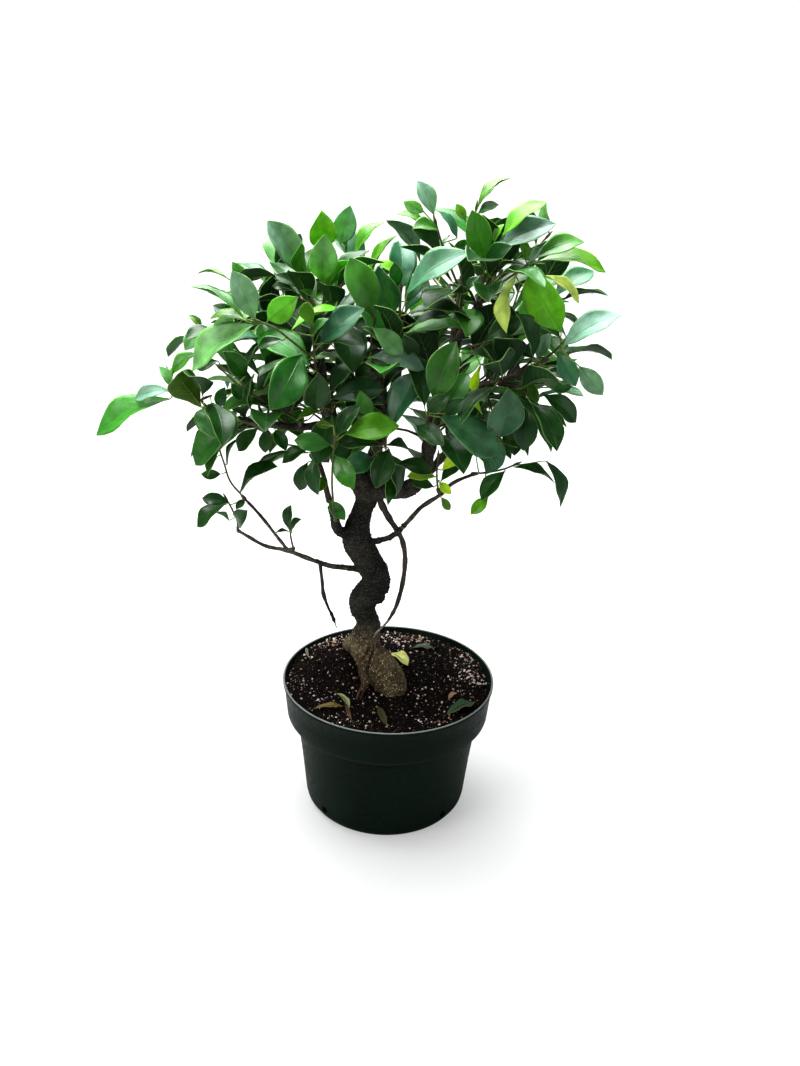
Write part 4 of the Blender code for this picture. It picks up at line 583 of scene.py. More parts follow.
def seen(across, down, near):
    """The point behind a pixel that lies near millimetres in front of the pot's middle plane."""
    ray = sight(across, down)
    return VIEW_EYE + ray * ((-near - VIEW_EYE.y) / ray.y)


def pixels_each_mm(place):
    """How many pixels of the view a millimetre spans at a place."""
    return VIEW_FOCAL / (place - VIEW_EYE).dot(view_axes()[0])


def on_soil(across, down):
    """The point of the soil's level behind a pixel."""
    ray = sight(across, down)
    return VIEW_EYE + ray * ((SOIL_TOP - VIEW_EYE.z) / ray.z)


def project(place):
    """The pixel of the view at which a place is seen."""
    ahead, right, up = view_axes()
    offset = place - VIEW_EYE
    depth = offset.dot(ahead)
    return (VIEW_MIDDLE[0] + VIEW_FOCAL * offset.dot(right) / depth,
            VIEW_MIDDLE[1] - VIEW_FOCAL * offset.dot(up) / depth)


def smooth_path(points, steps):
    """A Catmull-Rom curve through the points, with steps to each span."""
    padded = [points[0] * 2 - points[1], *points, points[-1] * 2 - points[-2]]
    path = []
    for i in range(len(points) - 1):
        a, b, c, d = padded[i:i + 4]
        for k in range(steps):
            t = k / steps
            path.append((b * 2 + (c - a) * t + (a * 2 - b * 5 + c * 4 - d) * t ** 2
                         + (b * 3 - a - c * 3 + d) * t ** 3) / 2)
    return [*path, points[-1]]


def smooth_radii(radii, steps):
    """Radii smoothed in the way in which smooth_path smooths their path."""
    return [r.x for r in smooth_path([Vector((radius, 0, 0)) for radius in radii], steps)]


def strand_of(rows):
    """The path and the radii of rows that each give across, down, near and radius."""
    return [seen(*row[:3]) for row in rows], [row[3] for row in rows]


def point_along(path, share):
    """The point and direction at a share of the path's length."""
    lengths = [(b - a).length for a, b in zip(path, path[1:])]
    left = share * sum(lengths)
    for (a, b), length in zip(zip(path, path[1:]), lengths):
        if left <= length or b is path[-1]:
            return a.lerp(b, min(1.0, left / length)), (b - a).normalized()
        left -= length


def nearest_along(path, point):
    """The point of the path nearest to a point."""
    best = path[0]
    for a, b in zip(path, path[1:]):
        t = max(0.0, min(1.0, (point - a).dot(b - a) / (b - a).length_squared))
        here = a.lerp(b, t)
        if (here - point).length < (best - point).length:
            best = here
    return best


def circle(radius, sides):
    """Points, as x and y, spaced evenly round a circle."""
    angles = [math.tau * k / sides for k in range(sides)]
    return [(radius * math.cos(angle), radius * math.sin(angle)) for angle in angles]


def ring_faces(low, high, sides):
    """The faces between two rings of points, each ring given by the number of its first point."""
    return [[low + k, low + (k + 1) % sides, high + (k + 1) % sides, high + k] for k in range(sides)]


def tube_faces(rings, sides):
    """The faces of a tube through rings of points, closed at both ends."""
    faces = [face for i in range(rings - 1) for face in ring_faces(i * sides, (i + 1) * sides, sides)]
    return [*faces, list(range(sides))[::-1], list(range((rings - 1) * sides, rings * sides))]


class Leaf:
    """A blade from base to tip, its upper face along up, joined to the stem at root."""

    def __init__(self, root, base, tip, up, width, tone, underside=False):
        self.root, self.base, self.width, self.tone = root, base, width, tone
        self.along = (tip - base).normalized()
        self.length = (tip - base).length
        self.up = (up - self.along * up.dot(self.along)).normalized()
        self.side = self.along.cross(self.up)
        self.underside = underside

    def dressed(self, droop, twist):
        """Sets how the fine blade hangs at its tip and how far it twists."""
        self.droop, self.twist = droop, twist

    def rib(self, t):
        """A point of the fine blade's midrib, a little below its skin."""
        up = Quaternion(self.along, t * self.twist) @ self.up
        height = math.sin(math.pi * t) * BOW - t ** 3 * self.droop
        return self.base + self.along * (t * self.length) + up * (height * self.length - RIB_DEPTH)

    def at(self, t, across):
        """A point of the blade's middle surface, at a share t of its length and across its half width."""
        bow = math.sin(math.pi * min(1.0, t)) * BOW * self.length
        droop = -t ** 3 * BOW * DROOP * self.length
        rise = abs(across) * FOLD
        return (self.base + self.along * (t * self.length) + self.side * across
                + self.up * (bow + droop + rise))


def leaf_mesh(leaf, spare=0.0, petiole=True):
    """Points and faces of a closed blade with its petiole, thickened by spare where clearance is tested."""
    half = BLADE_THICKNESS / 2 + spare
    grip = PETIOLE / 2 + spare
    into = (leaf.base - leaf.root).normalized() if petiole else leaf.along
    points, faces = [], []
    if petiole:
        points += stalk_ring(leaf, leaf.root, into, PETIOLE_ROOT / 2 + spare)
    if not petiole or leaf.length > LONG_LEAF:
        points += stalk_ring(leaf, leaf.base, (into + leaf.along).normalized(), grip)
    for low in range(0, len(points) - 3, 3):
        faces += ring_faces(low, low + 3, 3)
    faces.append([0, 2, 1])
    left, right, keel = range(len(points) - 3, len(points))
    rows = []
    for t, share in STATIONS if leaf.length > SMALL_LEAF else SMALL_STATIONS:
        reach = share * leaf.width / 2 + spare
        for lift in (half, -half):
            rows.append(range(len(points), len(points) + 3))
            points += [leaf.at(t, offset) + leaf.up * lift for offset in (-reach, 0.0, reach)]
    upper, lower = rows[:2]
    faces += [[left, upper[1], upper[0]], [left, right, upper[1]], [right, upper[2], upper[1]]]
    faces += [[keel, lower[0], lower[1]], [keel, lower[1], lower[2]]]
    faces += [[left, upper[0], lower[0], keel], [right, keel, lower[2], upper[2]]]
    for (a, b), (c, d) in zip(zip(rows[::2], rows[1::2]), zip(rows[2::2], rows[3::2])):
        for k in (0, 1):
            faces.append([a[k], a[k + 1], c[k + 1], c[k]])
            faces.append([b[k + 1], b[k], d[k], d[k + 1]])
        faces.append([b[0], a[0], c[0], d[0]])
        faces.append([a[2], b[2], d[2], c[2]])
    upper, lower = rows[-2:]
    end = len(points)
    points.append(leaf.at(1.0, 0.0) + leaf.along * spare)
    for k in (0, 1):
        faces.append([upper[k], upper[k + 1], end])
        faces.append([lower[k + 1], lower[k], end])
    faces += [[lower[0], upper[0], end], [upper[2], lower[2], end]]
    return points, triangles_of(faces)


def stalk_ring(leaf, centre, direction, grip):
    """Three points round a petiole: two above and a keel below, turned with the petiole's own bend."""
    turn = leaf.along.rotation_difference(direction)
    side, up = turn @ leaf.side, turn @ leaf.up
    above = centre + up * (grip * KEEL_FLATNESS)
    return [above - side * grip, above + side * grip, centre - up * grip]


def triangles_of(faces):
    """The faces as triangles, split alike on both sides of a blade, so that its skins never cross."""
    split = []
    for face in faces:
        if len(face) == 4:
            a, b, c, d = face
            split += [[a, b, c], [a, c, d]] if min(face) in (a, c) else [[a, b, d], [b, c, d]]
        else:
            split.append(face)
    return split


def tree_of(points, faces):
    return BVHTree.FromPolygons(points, faces)


def tube_mesh(path, radii, spare):
    """Points and faces of a plain tube, for clearance tests."""
    points = []
    for i, (centre, radius) in enumerate(zip(path, radii)):
        ahead = path[min(i + 1, len(path) - 1)] - path[max(i - 1, 0)]
        turn = ahead.to_track_quat("Z", "Y")
        points += [centre + turn @ Vector((x, y, 0)) * (radius + spare) for x, y in circle(1.0, TEST_SIDES)]
    return points, tube_faces(len(path), TEST_SIDES)


class Plan:
    """Where every limb, twig, stem and leaf goes, worked out once for the whole tree."""

    CLEARANCE = 0.9

    def __init__(self):
        self.limbs = {}
        self.twigs = {}
        self.stems = {}
        self.leaves = {}
        self.obstacles = []
        self.draw = random.Random(SEED)
        self.lay_limbs()
        self.lay_stems()
        self.lay_leaves()

    def lay_limbs(self):
        for name, rows in LIMBS.items():
            path, radii = strand_of(rows)
            steps = 2 if radii[0] > STOUT_LIMB else 1
            self.limbs[name] = (smooth_path(path, steps), smooth_radii(radii, steps))
        for name, rows in HANGING_ROOTS.items():
            self.limbs["root_" + name] = strand_of(rows)

    def lay_stems(self):
        """Gives each shoot a woody twig whose last stretch points along the green stem that it carries."""
        for name, spec in [*SHOOTS.items(), *FILLERS.items()]:
            limb, share, stem = spec[:3]
            places = [seen(*place) for place in stem]
            limb_path, limb_radii = self.limbs[limb]
            start = places[0]
            ahead = (places[1] - start).normalized()
            foot, heading = point_along(limb_path, share)
            if share < 1.0:
                reach = (start - foot).length
                bend = foot + heading * (reach * TWIG_BEND)
                approach = start - ahead * (reach * TWIG_APPROACH)
                middle = [bezier(foot, bend, approach, start, 0.5)] if reach > LONG_TWIG else []
                self.twigs[name] = [foot, *middle, start - ahead * TWIG_END, start]
            else:
                start = foot + ahead * (limb_radii[-1] + TWIG_END)
                self.twigs[name] = [foot - heading * TWIG_END, foot, start]
            places[0] = start + ahead * GAP
            self.stems[name] = [places[0], *(p for p in places[1:] if (p - start).dot(ahead) > TWIG_END)]
        for path, radii in self.limbs.values():
            self.keep_clear_of("wood", path, radii)
        for path in self.twigs.values():
            self.keep_clear_of("wood", path, [TWIG_RADIUS] * len(path))
        for name, path in self.stems.items():
            self.keep_clear_of(name, path, [STEM_RADIUS] * len(path))

    def keep_clear_of(self, owner, path, radii):
        tube = tree_of(*tube_mesh(path, radii, self.CLEARANCE))
        self.obstacles.append((owner, tube, tube))

    def lay_leaves(self):
        for name, (_, _, _, rows) in SHOOTS.items():
            self.leaves[name] = []
            for row in rows:
                self.settle(name, self.seen_choices(name, row))
        for name, count in BEHIND.items():
            for index in range(count):
                self.settle(name, (leaf for leaf in self.whorl_choices(name, index, count)
                                   if leaf.along.y > BEHIND_LEAN))
        for name, (_, _, _, count) in FILLERS.items():
            self.leaves[name] = []
            for index in range(count):
                self.settle(name, self.whorl_choices(name, index, count))

    def settle(self, name, choices):
        """Keeps the first choice that is clear of everything else. With none, the leaf is left out."""
        for leaf in choices:
            blade = tree_of(*leaf_mesh(leaf, spare=self.CLEARANCE / 2, petiole=False))
            whole = tree_of(*leaf_mesh(leaf, spare=self.CLEARANCE / 2))
            blocked = any(blade.overlap(own) if owner == name else whole.overlap(other)
                          for owner, own, other in self.obstacles)
            if not blocked:
                self.leaves[name].append(leaf)
                self.obstacles.append((name, blade, whole))
                return

    def seen_choices(self, name, row):
        """A leaf as seen from the front, and the same leaf set deeper, nearer or turned."""
        base_across, base_down, tip_across, tip_down, ratio, letter = row
        stem = self.stems[name]
        tone = TONE_LETTERS[letter.lower()]
        underside = letter.isupper()
        guess = sum(((p - VIEW_EYE).y for p in stem), 0.0) / len(stem)
        near = -(guess + VIEW_EYE.y)
        root = nearest_along(stem, seen(base_across, base_down, near))
        near = -root.y
        for turn_more, shift, lean in itertools.product(SEEN_TURNS, SEEN_SHIFTS, SEEN_LEANS):
            base = seen(base_across, base_down, near + shift)
            across = (seen(tip_across, tip_down, near + shift) - base).length
            reach = across * math.tan(math.acos(PLUMP / ratio)) if ratio > PLUMP else 0.0
            turn = 0.0 if ratio > PLUMP else math.acos(ratio / PLUMP)
            tip = seen(tip_across, tip_down, near + shift + reach + lean)
            up = self.facing(base, tip, turn + math.radians(turn_more), underside)
            width = min(PLUMP * (tip - base).length, WIDEST_LEAF)
            yield Leaf(self.root_for(stem, base), base, tip, up, width, tone, underside)

    def root_for(self, stem, base):
        """Where a petiole leaves the stem's middle line, never nearer to its end than its own thickness."""
        last = (stem[-1] - stem[-2]).normalized()
        return nearest_along([*stem[:-1], stem[-1] - last * PETIOLE], base)

    def facing(self, base, tip, turn, underside):
        """The upper side's direction: towards the viewer, turned by an angle so that it looks up."""
        along = (tip - base).normalized()
        back = (VIEW_EYE - base).normalized()
        front = (back - along * back.dot(along)).normalized()
        aside = along.cross(front)
        lean = aside.z if abs(aside.z) > LEVEL_SIDE else -aside.x
        aside = aside if lean > 0 else -aside
        if underside:
            front = -front
        return front * math.cos(turn) + aside * math.sin(turn)

    def whorl_choices(self, name, index, count):
        """A leaf that stands off the stem at the next turn of the spiral, and nearby angles."""
        stem = self.stems[name]
        share = (index + 0.7) / count
        root, ahead = point_along(stem, share)
        size = FILLER_LENGTH * (0.85 + 0.3 * self.draw.random())
        spiral = index * SPIRAL_TURN + self.draw.random()
        spread = math.radians(SPREAD - SPREAD_LESS * share + 8 * self.draw.random())
        drawn = self.draw.random()
        tone = next(tone for share_below, tone in RULED_TONES if drawn < share_below)
        sideways = ahead.cross(Vector((0, 0, 1))).normalized()
        for shrink, opened, swing in itertools.product(RULED_SIZES, RULED_OPENINGS, RULED_SWINGS):
            out = Quaternion(ahead, spiral + swing) @ sideways
            along = ahead * math.cos(spread + opened) + out * math.sin(spread + opened)
            along = (along - Vector((0, 0, LEAF_SAG))).normalized()
            base = root + along * FILLER_PETIOLE
            tip = base + along * (size * shrink)
            up = Vector((0, 0, 1)) + ahead * 0.5 - along * 0.2
            yield Leaf(root, base, tip, up, PLUMP * size * shrink, tone)


def bezier(a, b, c, d, t):
    s = 1 - t
    return a * s ** 3 + b * (3 * s * s * t) + c * (3 * s * t * t) + d * t ** 3


def soil_height(x, y):
    """The soil's relief: a heap at the back left, a few low mounds and a fine lumpy grain."""
    mounds = math.sin(x * 0.05 + 1.0) * math.cos(y * 0.062) + 0.6 * math.sin((x + y) * 0.09)
    heap = HEAP_HEIGHT * math.exp(-((x - HEAP_X) ** 2 + (y - HEAP_Y) ** 2) / (2 * HEAP_SPREAD ** 2))
    lumps = math.sin(x * 0.61 + math.sin(y * 0.37) * 2.0) * math.sin(y * 0.53 + math.cos(x * 0.41) * 2.0)
    return SOIL_TOP + heap + SOIL_RELIEF * (0.6 * mounds + 0.7 * lumps)


def loft_mesh(sections, sides):
    """Points and faces of a closed loft through rings of the given centre, axis and half sizes."""
    points = []
    for centre, axis, half_width, half_depth in sections:
        side = Vector((0, 1, 0)).cross(axis).normalized()
        deep = axis.cross(side).normalized()
        points += [centre + side * (half_width * x) + deep * (half_depth * y) for x, y in circle(1.0, sides)]
    return points, tube_faces(len(sections), sides)


def trunk_sections():
    """The trunk's rings. Their axes lean only part of the way with each bend, so that no two cross."""
    rows = []
    for across, down, near, half_width, half_depth in TRUNK:
        centre = seen(across, down, near)
        rows.append((centre, half_width / pixels_each_mm(centre), half_depth))
    foot = rows[0][0]
    rows.insert(0, (Vector((foot.x, foot.y, SOIL_TOP - ROOT_DEPTH)), ROOT_RADIUS, ROOT_RADIUS))
    sections = []
    for i, (centre, width, depth) in enumerate(rows):
        ahead = (rows[min(i + 1, len(rows) - 1)][0] - rows[max(i - 1, 0)][0]).normalized()
        axis = (ahead + Vector((0, 0, TRUNK_UPRIGHT))).normalized()
        sections.append((centre, axis, width, depth))
    return sections


def add_sprigs(plan):
    """Thin bare-wooded sprigs with small dark leaves that fill the inside of the crown, off its limbs."""
    draw = random.Random(SPRIG_SEED)
    crown = [project(leaf.at(0.5, 0.0)) for leaves in plan.leaves.values() for leaf in leaves]
    sprigs = []
    for _ in range(SPRIG_TRIES):
        if len(sprigs) == SPRIGS:
            break
        limb = draw.choice(SPRIG_LIMBS)
        foot, heading = point_along(plan.limbs[limb][0], draw.uniform(0.3, 1.0))
        out = Vector((draw.uniform(-1, 1), draw.uniform(-1, 1), draw.uniform(-0.15, 0.9))).normalized()
        reach = draw.uniform(*SPRIG_REACH)
        middle = foot + (heading + out).normalized() * (reach * 0.5)
        end = middle + out * (reach * 0.5)
        across, down = project(end)
        near_leaf = any(math.hypot(across - x, down - y) < CROWN_REACH for x, y in crown)
        if not near_leaf or in_gap(end) or end.y < SPRIG_FRONT or end.y > SPRIG_BACK:
            continue
        name = f"sprig_{len(sprigs)}"
        plan.stems[name] = [foot, middle, end]
        plan.leaves[name] = []
        plan.keep_clear_of(name, [middle, end], [STEM_RADIUS] * 2)
        for index in range(SPRIG_LEAVES):
            plan.settle(name, (leaf for leaf in plan.whorl_choices(name, index + 1, SPRIG_LEAVES + 1)
                               if not gap_seen(leaf)))
        sprigs.append(name)
    return sprigs


def in_gap(place):
    """Whether a place is seen in one of the crown's open gaps."""
    across, down = project(place)
    return any(abs(across - x) < wide and abs(down - y) < high for x, y, wide, high in CROWN_GAPS)


def gap_seen(leaf):
    """Whether a leaf would close one of the crown's open gaps."""
    return any(in_gap(leaf.at(t, 0.0)) for t in (0.1, 0.5, 1.0))


class Wiring:
    """A node tree being wired: it adds nodes and joins or sets their sockets."""

    def __init__(self, tree):
        self.tree = tree

    def add(self, kind, sockets=(), **settings):
        made = self.tree.nodes.new(kind)
        for key, value in settings.items():
            setattr(made, key, value)
        for key, value in dict(sockets).items():
            self.feed(made.inputs[key], value)
        return made

    def feed(self, socket, value):
        for one in value if isinstance(value, list) else [value]:
            if isinstance(one, bpy.types.NodeSocket):
                self.tree.links.new(one, socket)
            else:
                socket.default_value = one

    def math(self, operation, *values):
        return self.add("ShaderNodeMath", enumerate(values), operation=operation).outputs[0]

    def product(self, first, *rest):
        for factor in rest:
            first = self.math("MULTIPLY", first, factor)
        return first

    def vector(self, operation, *values):
        return self.add("ShaderNodeVectorMath", enumerate(values), operation=operation).outputs["Vector"]

    def scaled(self, vector, factor):
        made = self.add("ShaderNodeVectorMath", {0: vector, "Scale": factor}, operation="SCALE")
        return made.outputs["Vector"]

    def total(self, first, *rest):
        for term in rest:
            first = self.vector("ADD", first, term)
        return first

    def split(self, vector):
        return self.add("ShaderNodeSeparateXYZ", {0: vector}).outputs

    def ramp(self, value, low, high, to_low=0.0, to_high=1.0):
        """A smooth step from to_low at low to to_high at high."""
        sockets = {"Value": value, "From Min": low, "From Max": high, "To Min": to_low, "To Max": to_high}
        return self.add("ShaderNodeMapRange", sockets, interpolation_type="SMOOTHSTEP").outputs["Result"]

    def mix(self, share, first, second, blend="MIX"):
        """Two colours mixed."""
        made = self.add("ShaderNodeMix", data_type="RGBA", blend_type=blend)
        self.feed(made.inputs["Factor"], share)
        self.feed(made.inputs[6], first)
        self.feed(made.inputs[7], second)
        return made.outputs[2]

    def noise(self, place, scale, detail=3.0, distortion=0.0):
        sockets = {"Vector": place, "Scale": scale, "Detail": detail, "Distortion": distortion}
        return self.add("ShaderNodeTexNoise", sockets).outputs["Fac"]

    def lumps(self, place, scale, depth, detail=3.0, distortion=0.0):
        """A height that goes up and down about zero."""
        around = self.math("SUBTRACT", self.noise(place, scale, detail, distortion), 0.5)
        return self.product(around, depth)

    def position(self):
        return self.add("GeometryNodeInputPosition").outputs[0]

    def object_place(self):
        return self.add("ShaderNodeTexCoord").outputs["Object"]

    def mark(self, name):
        """What a mesh's point attribute holds, in a material."""
        return self.add("ShaderNodeAttribute", attribute_name=name).outputs["Fac"]

    def group(self, tree, sockets):
        return self.add("ShaderNodeGroup", sockets, node_tree=tree).outputs

    def stored(self, name, kind):
        return self.add("GeometryNodeInputNamedAttribute", {"Name": name}, data_type=kind).outputs[0]

    def store(self, geometry, name, value, kind="FLOAT", domain="POINT"):
        sockets = {"Geometry": geometry, "Name": name, "Value": value}
        return self.add("GeometryNodeStoreNamedAttribute", sockets, data_type=kind, domain=domain).outputs[0]

    def realized(self, geometry):
        return self.add("GeometryNodeRealizeInstances", {"Geometry": geometry}).outputs[0]

    def dressed(self, geometry, material, **sockets):
        sockets = {"Geometry": geometry, "Material": material, **sockets}
        return self.add("GeometryNodeSetMaterial", sockets).outputs[0]

    def pushed(self, geometry, height):
        """A surface moved out along its normals."""
        normal = self.add("GeometryNodeInputNormal").outputs[0]
        sockets = {"Geometry": geometry, "Offset": self.scaled(normal, height)}
        return self.add("GeometryNodeSetPosition", sockets).outputs[0]


def geometry_tree(name, inputs):
    """An empty geometry tree with a geometry in and out and one named input for each size."""
    tree = bpy.data.node_groups.new(name, "GeometryNodeTree")
    tree.interface.new_socket("Geometry", in_out="INPUT", socket_type="NodeSocketGeometry")
    for label, kind in inputs.items():
        tree.interface.new_socket(label, in_out="INPUT", socket_type="NodeSocket" + kind)
    tree.interface.new_socket("Geometry", in_out="OUTPUT", socket_type="NodeSocketGeometry")
    wiring = Wiring(tree)
    return wiring, wiring.add("NodeGroupInput").outputs


def close_tree(wiring, geometry, material):
    """Ends a tree with smooth faces, real geometry and its material."""
    smooth = wiring.add("GeometryNodeSetShadeSmooth", {"Geometry": geometry}).outputs[0]
    end = wiring.add("NodeGroupOutput")
    wiring.feed(end.inputs["Geometry"], wiring.dressed(wiring.realized(smooth), material))
    return wiring.tree


def grown(name, source, tree, values):
    """Runs a geometry tree on a source object, and gives the plain mesh object that comes of it."""
    growth = source.modifiers.new(tree.name, "NODES")
    growth.node_group = tree
    for socket in tree.interface.items_tree:
        if socket.in_out == "INPUT" and socket.name in values:
            growth[socket.identifier] = values[socket.name]
    mesh = plain_mesh(source)
    bpy.data.objects.remove(source)
    return new_object(name, mesh)


def plain_mesh(source):
    graph = bpy.context.evaluated_depsgraph_get()
    return bpy.data.meshes.new_from_object(source.evaluated_get(graph))


def new_object(name, data):
    made = bpy.data.objects.new(name, data)
    bpy.context.scene.collection.objects.link(made)
    return made


def mesh_object(name, points, faces):
    """A mesh object from points in millimetres, with its normals facing out."""
    mesh = bpy.data.meshes.new(name)
    mesh.from_pydata([p * MM for p in points], [], faces)
    turn_out(mesh)
    return new_object(name, mesh)


def turn_out(mesh):
    """Turns every face of a closed mesh outwards."""
    shell = bmesh.new()
    shell.from_mesh(mesh)
    bmesh.ops.recalc_face_normals(shell, faces=shell.faces)
    shell.to_mesh(mesh)
    shell.free()


def joined(name, objects):
    """One object from several meshes, each keeping its materials."""
    shell = bmesh.new()
    finishes = []
    for one in objects:
        slots = []
        for finish in one.data.materials:
            if finish not in finishes:
                finishes.append(finish)
            slots.append(finishes.index(finish))
        first = len(shell.faces)
        shell.from_mesh(one.data)
        shell.faces.ensure_lookup_table()
        for face in shell.faces[first:]:
            face.material_index = slots[face.material_index] if slots else 0
    mesh = bpy.data.meshes.new(name)
    shell.to_mesh(mesh)
    shell.free()
    for finish in finishes:
        mesh.materials.append(finish)
    for one in objects:
        bpy.data.objects.remove(one)
    return new_object(name, mesh)


def strands_object(name, strands):
    """A curve object of one spline for each strand, a strand being its path and its radii in millimetres."""
    curve = bpy.data.curves.new(name, "CURVE")
    curve.dimensions = "3D"
    for path, radii in strands:
        spline = curve.splines.new("POLY")
        spline.points.add(len(path) - 1)
        for point, place, radius in zip(spline.points, path, radii):
            point.co = (*(place * MM), 1.0)
            point.radius = radius * MM
    return new_object(name, curve)


def tube_tree():
    """Follows each strand with a closed round tube, made a little lumpy."""
    wiring, given = geometry_tree("tubes along strands", {
        "Sides": "Int", "Lump": "Float", "Lump Scale": "Float", "Material": "Material"})
    ring = wiring.add("GeometryNodeCurvePrimitiveCircle", {"Resolution": given["Sides"], "Radius": 1.0})
    radius = wiring.add("GeometryNodeInputRadius").outputs[0]
    marked = wiring.store(given["Geometry"], "slender", wiring.ramp(radius, *SLENDER_RADII))
    tube = wiring.add("GeometryNodeCurveToMesh", {
        "Curve": marked, "Profile Curve": ring.outputs[0], "Fill Caps": True, "Scale": radius}).outputs[0]
    lumps = wiring.lumps(wiring.position(), given["Lump Scale"], given["Lump"])
    return close_tree(wiring, wiring.pushed(tube, lumps), given["Material"])


def leaf_tree():
    """Puts a blade on each leaf point: folded along its midrib, arched, waved, twisted, with two skins."""
    wiring, given = geometry_tree("leaf blades", {
        "Stations": "Int", "Spans": "Int", "Fold": "Float", "Bow": "Float", "Wave": "Float",
        "Thickness": "Float", "Upper": "Material", "Under": "Material", "Rim": "Material"})
    grid = wiring.add("GeometryNodeMeshGrid", {
        "Size X": 1.0, "Size Y": 1.0, "Vertices X": given["Stations"], "Vertices Y": given["Spans"]}).outputs
    flat = wiring.split(wiring.position())
    even = wiring.math("ADD", flat[0], 0.5)
    crowded = wiring.product(wiring.math("SINE", wiring.product(even, math.tau)), -END_CROWDING / math.tau)
    blade = wiring.store(grid["Mesh"], "share", wiring.math("ADD", even, crowded))
    blade = wiring.store(blade, "across", wiring.product(flat[1], 2.0))
    blade = wiring.store(blade, LEAF_UV, grid["UV Map"], "FLOAT2", "CORNER")
    placed = wiring.add("GeometryNodeInstanceOnPoints", {"Points": given["Geometry"], "Instance": blade})
    real = wiring.realized(placed.outputs[0])
    share, across, size, breadth, droop, twist, phase = (
        wiring.stored(name, "FLOAT") for name in ("share", "across", *LEAF_NUMBERS))
    foot, along, up = (wiring.stored(name, "FLOAT_VECTOR") for name in LEAF_VECTORS)
    side = wiring.vector("CROSS_PRODUCT", up, along)
    turn = wiring.product(share, twist)
    side, up = (wiring.add("ShaderNodeVectorRotate", {"Vector": one, "Axis": along, "Angle": turn}).outputs[0]
                for one in (side, up))
    outline = wiring.add("ShaderNodeFloatCurve", {"Value": share})
    shape = outline.mapping.curves[0]
    for point, (x, y) in zip((shape.points[0], shape.points[1]), (LEAF_OUTLINE[0], LEAF_OUTLINE[-1])):
        point.location = (x, y)
    for x, y in LEAF_OUTLINE[1:-1]:
        shape.points.new(x, y)
    outline.mapping.update()
    half = wiring.product(outline.outputs[0], breadth, 0.5)
    beside = wiring.product(across, half)
    arch = wiring.product(wiring.math("SINE", wiring.product(share, math.pi)), given["Bow"], size)
    hang = wiring.product(wiring.math("POWER", share, 3.0), droop, size, -1.0)
    away = wiring.math("ABSOLUTE", across)
    rise = wiring.product(wiring.math("POWER", away, FOLD_ROUNDING), given["Fold"], half)
    started = wiring.math("ADD", phase, wiring.product(across, RIPPLE_SLANT))
    ripple = wiring.math("SINE", wiring.math("ADD", wiring.product(share, RIPPLES), started))
    wave = wiring.product(ripple, away, away, given["Wave"], half)
    height = wiring.math("ADD", wiring.math("ADD", arch, hang), wiring.math("ADD", rise, wave))
    place = wiring.total(foot, wiring.scaled(along, wiring.product(share, size)), wiring.scaled(side, beside),
                         wiring.scaled(up, height))
    bent = wiring.add("GeometryNodeSetPosition", {"Geometry": real, "Position": place}).outputs[0]
    bent = wiring.add("GeometryNodeMergeByDistance", {"Geometry": bent, "Distance": WELD}).outputs[0]
    raised = wiring.add("GeometryNodeExtrudeMesh", {
        "Mesh": bent, "Offset Scale": given["Thickness"], "Individual": False}, mode="FACES").outputs
    upper = wiring.dressed(raised["Mesh"], given["Upper"], Selection=raised["Top"])
    rim = wiring.dressed(upper, given["Rim"], Selection=raised["Side"])
    under = wiring.dressed(wiring.add("GeometryNodeFlipFaces", {"Mesh": bent}).outputs[0], given["Under"])
    both = wiring.add("GeometryNodeJoinGeometry", {"Geometry": [under, rim]}).outputs[0]
    closed = wiring.add("GeometryNodeMergeByDistance", {"Geometry": both, "Distance": WELD})
    smooth = wiring.add("GeometryNodeSetShadeSmooth", {"Geometry": closed.outputs[0]})
    end = wiring.add("NodeGroupOutput")
    wiring.feed(end.inputs["Geometry"], smooth.outputs[0])
    return wiring.tree


def scatter_tree():
    """Strews lumpy grains over a surface, denser where its attribute "chance" is high."""
    wiring, given = geometry_tree("strewn grains", {
        "Density": "Float", "Spacing": "Float", "Smallest": "Float", "Largest": "Float", "Stretch": "Vector",
        "Lump": "Float", "Seed": "Int", "Material": "Material"})
    points = wiring.add("GeometryNodeDistributePointsOnFaces", {
        "Mesh": given["Geometry"], "Distance Min": given["Spacing"], "Density Max": given["Density"],
        "Density Factor": wiring.stored("chance", "FLOAT"), "Seed": given["Seed"]
    }, distribute_method="POISSON")
    grain = wiring.add("GeometryNodeMeshUVSphere", {"Segments": 7, "Rings": 4, "Radius": 0.5})
    turn = wiring.add("FunctionNodeRandomValue", {1: (6.3, 6.3, 6.3), "Seed": given["Seed"]},
                      data_type="FLOAT_VECTOR").outputs[0]
    size = wiring.add("FunctionNodeRandomValue", {2: 0.0, 3: 1.0, "Seed": given["Seed"]},
                      data_type="FLOAT").outputs[1]
    size = wiring.add("ShaderNodeMapRange", {
        "Value": wiring.math("POWER", size, 4.0), "To Min": given["Smallest"],
        "To Max": given["Largest"]}).outputs[0]
    placed = wiring.add("GeometryNodeInstanceOnPoints", {
        "Points": points.outputs["Points"], "Instance": grain.outputs[0], "Rotation": turn,
        "Scale": wiring.scaled(given["Stretch"], size)})
    lumps = wiring.lumps(wiring.position(), GRAIN_NOISE, given["Lump"])
    return close_tree(wiring, wiring.pushed(wiring.realized(placed.outputs[0]), lumps), given["Material"])


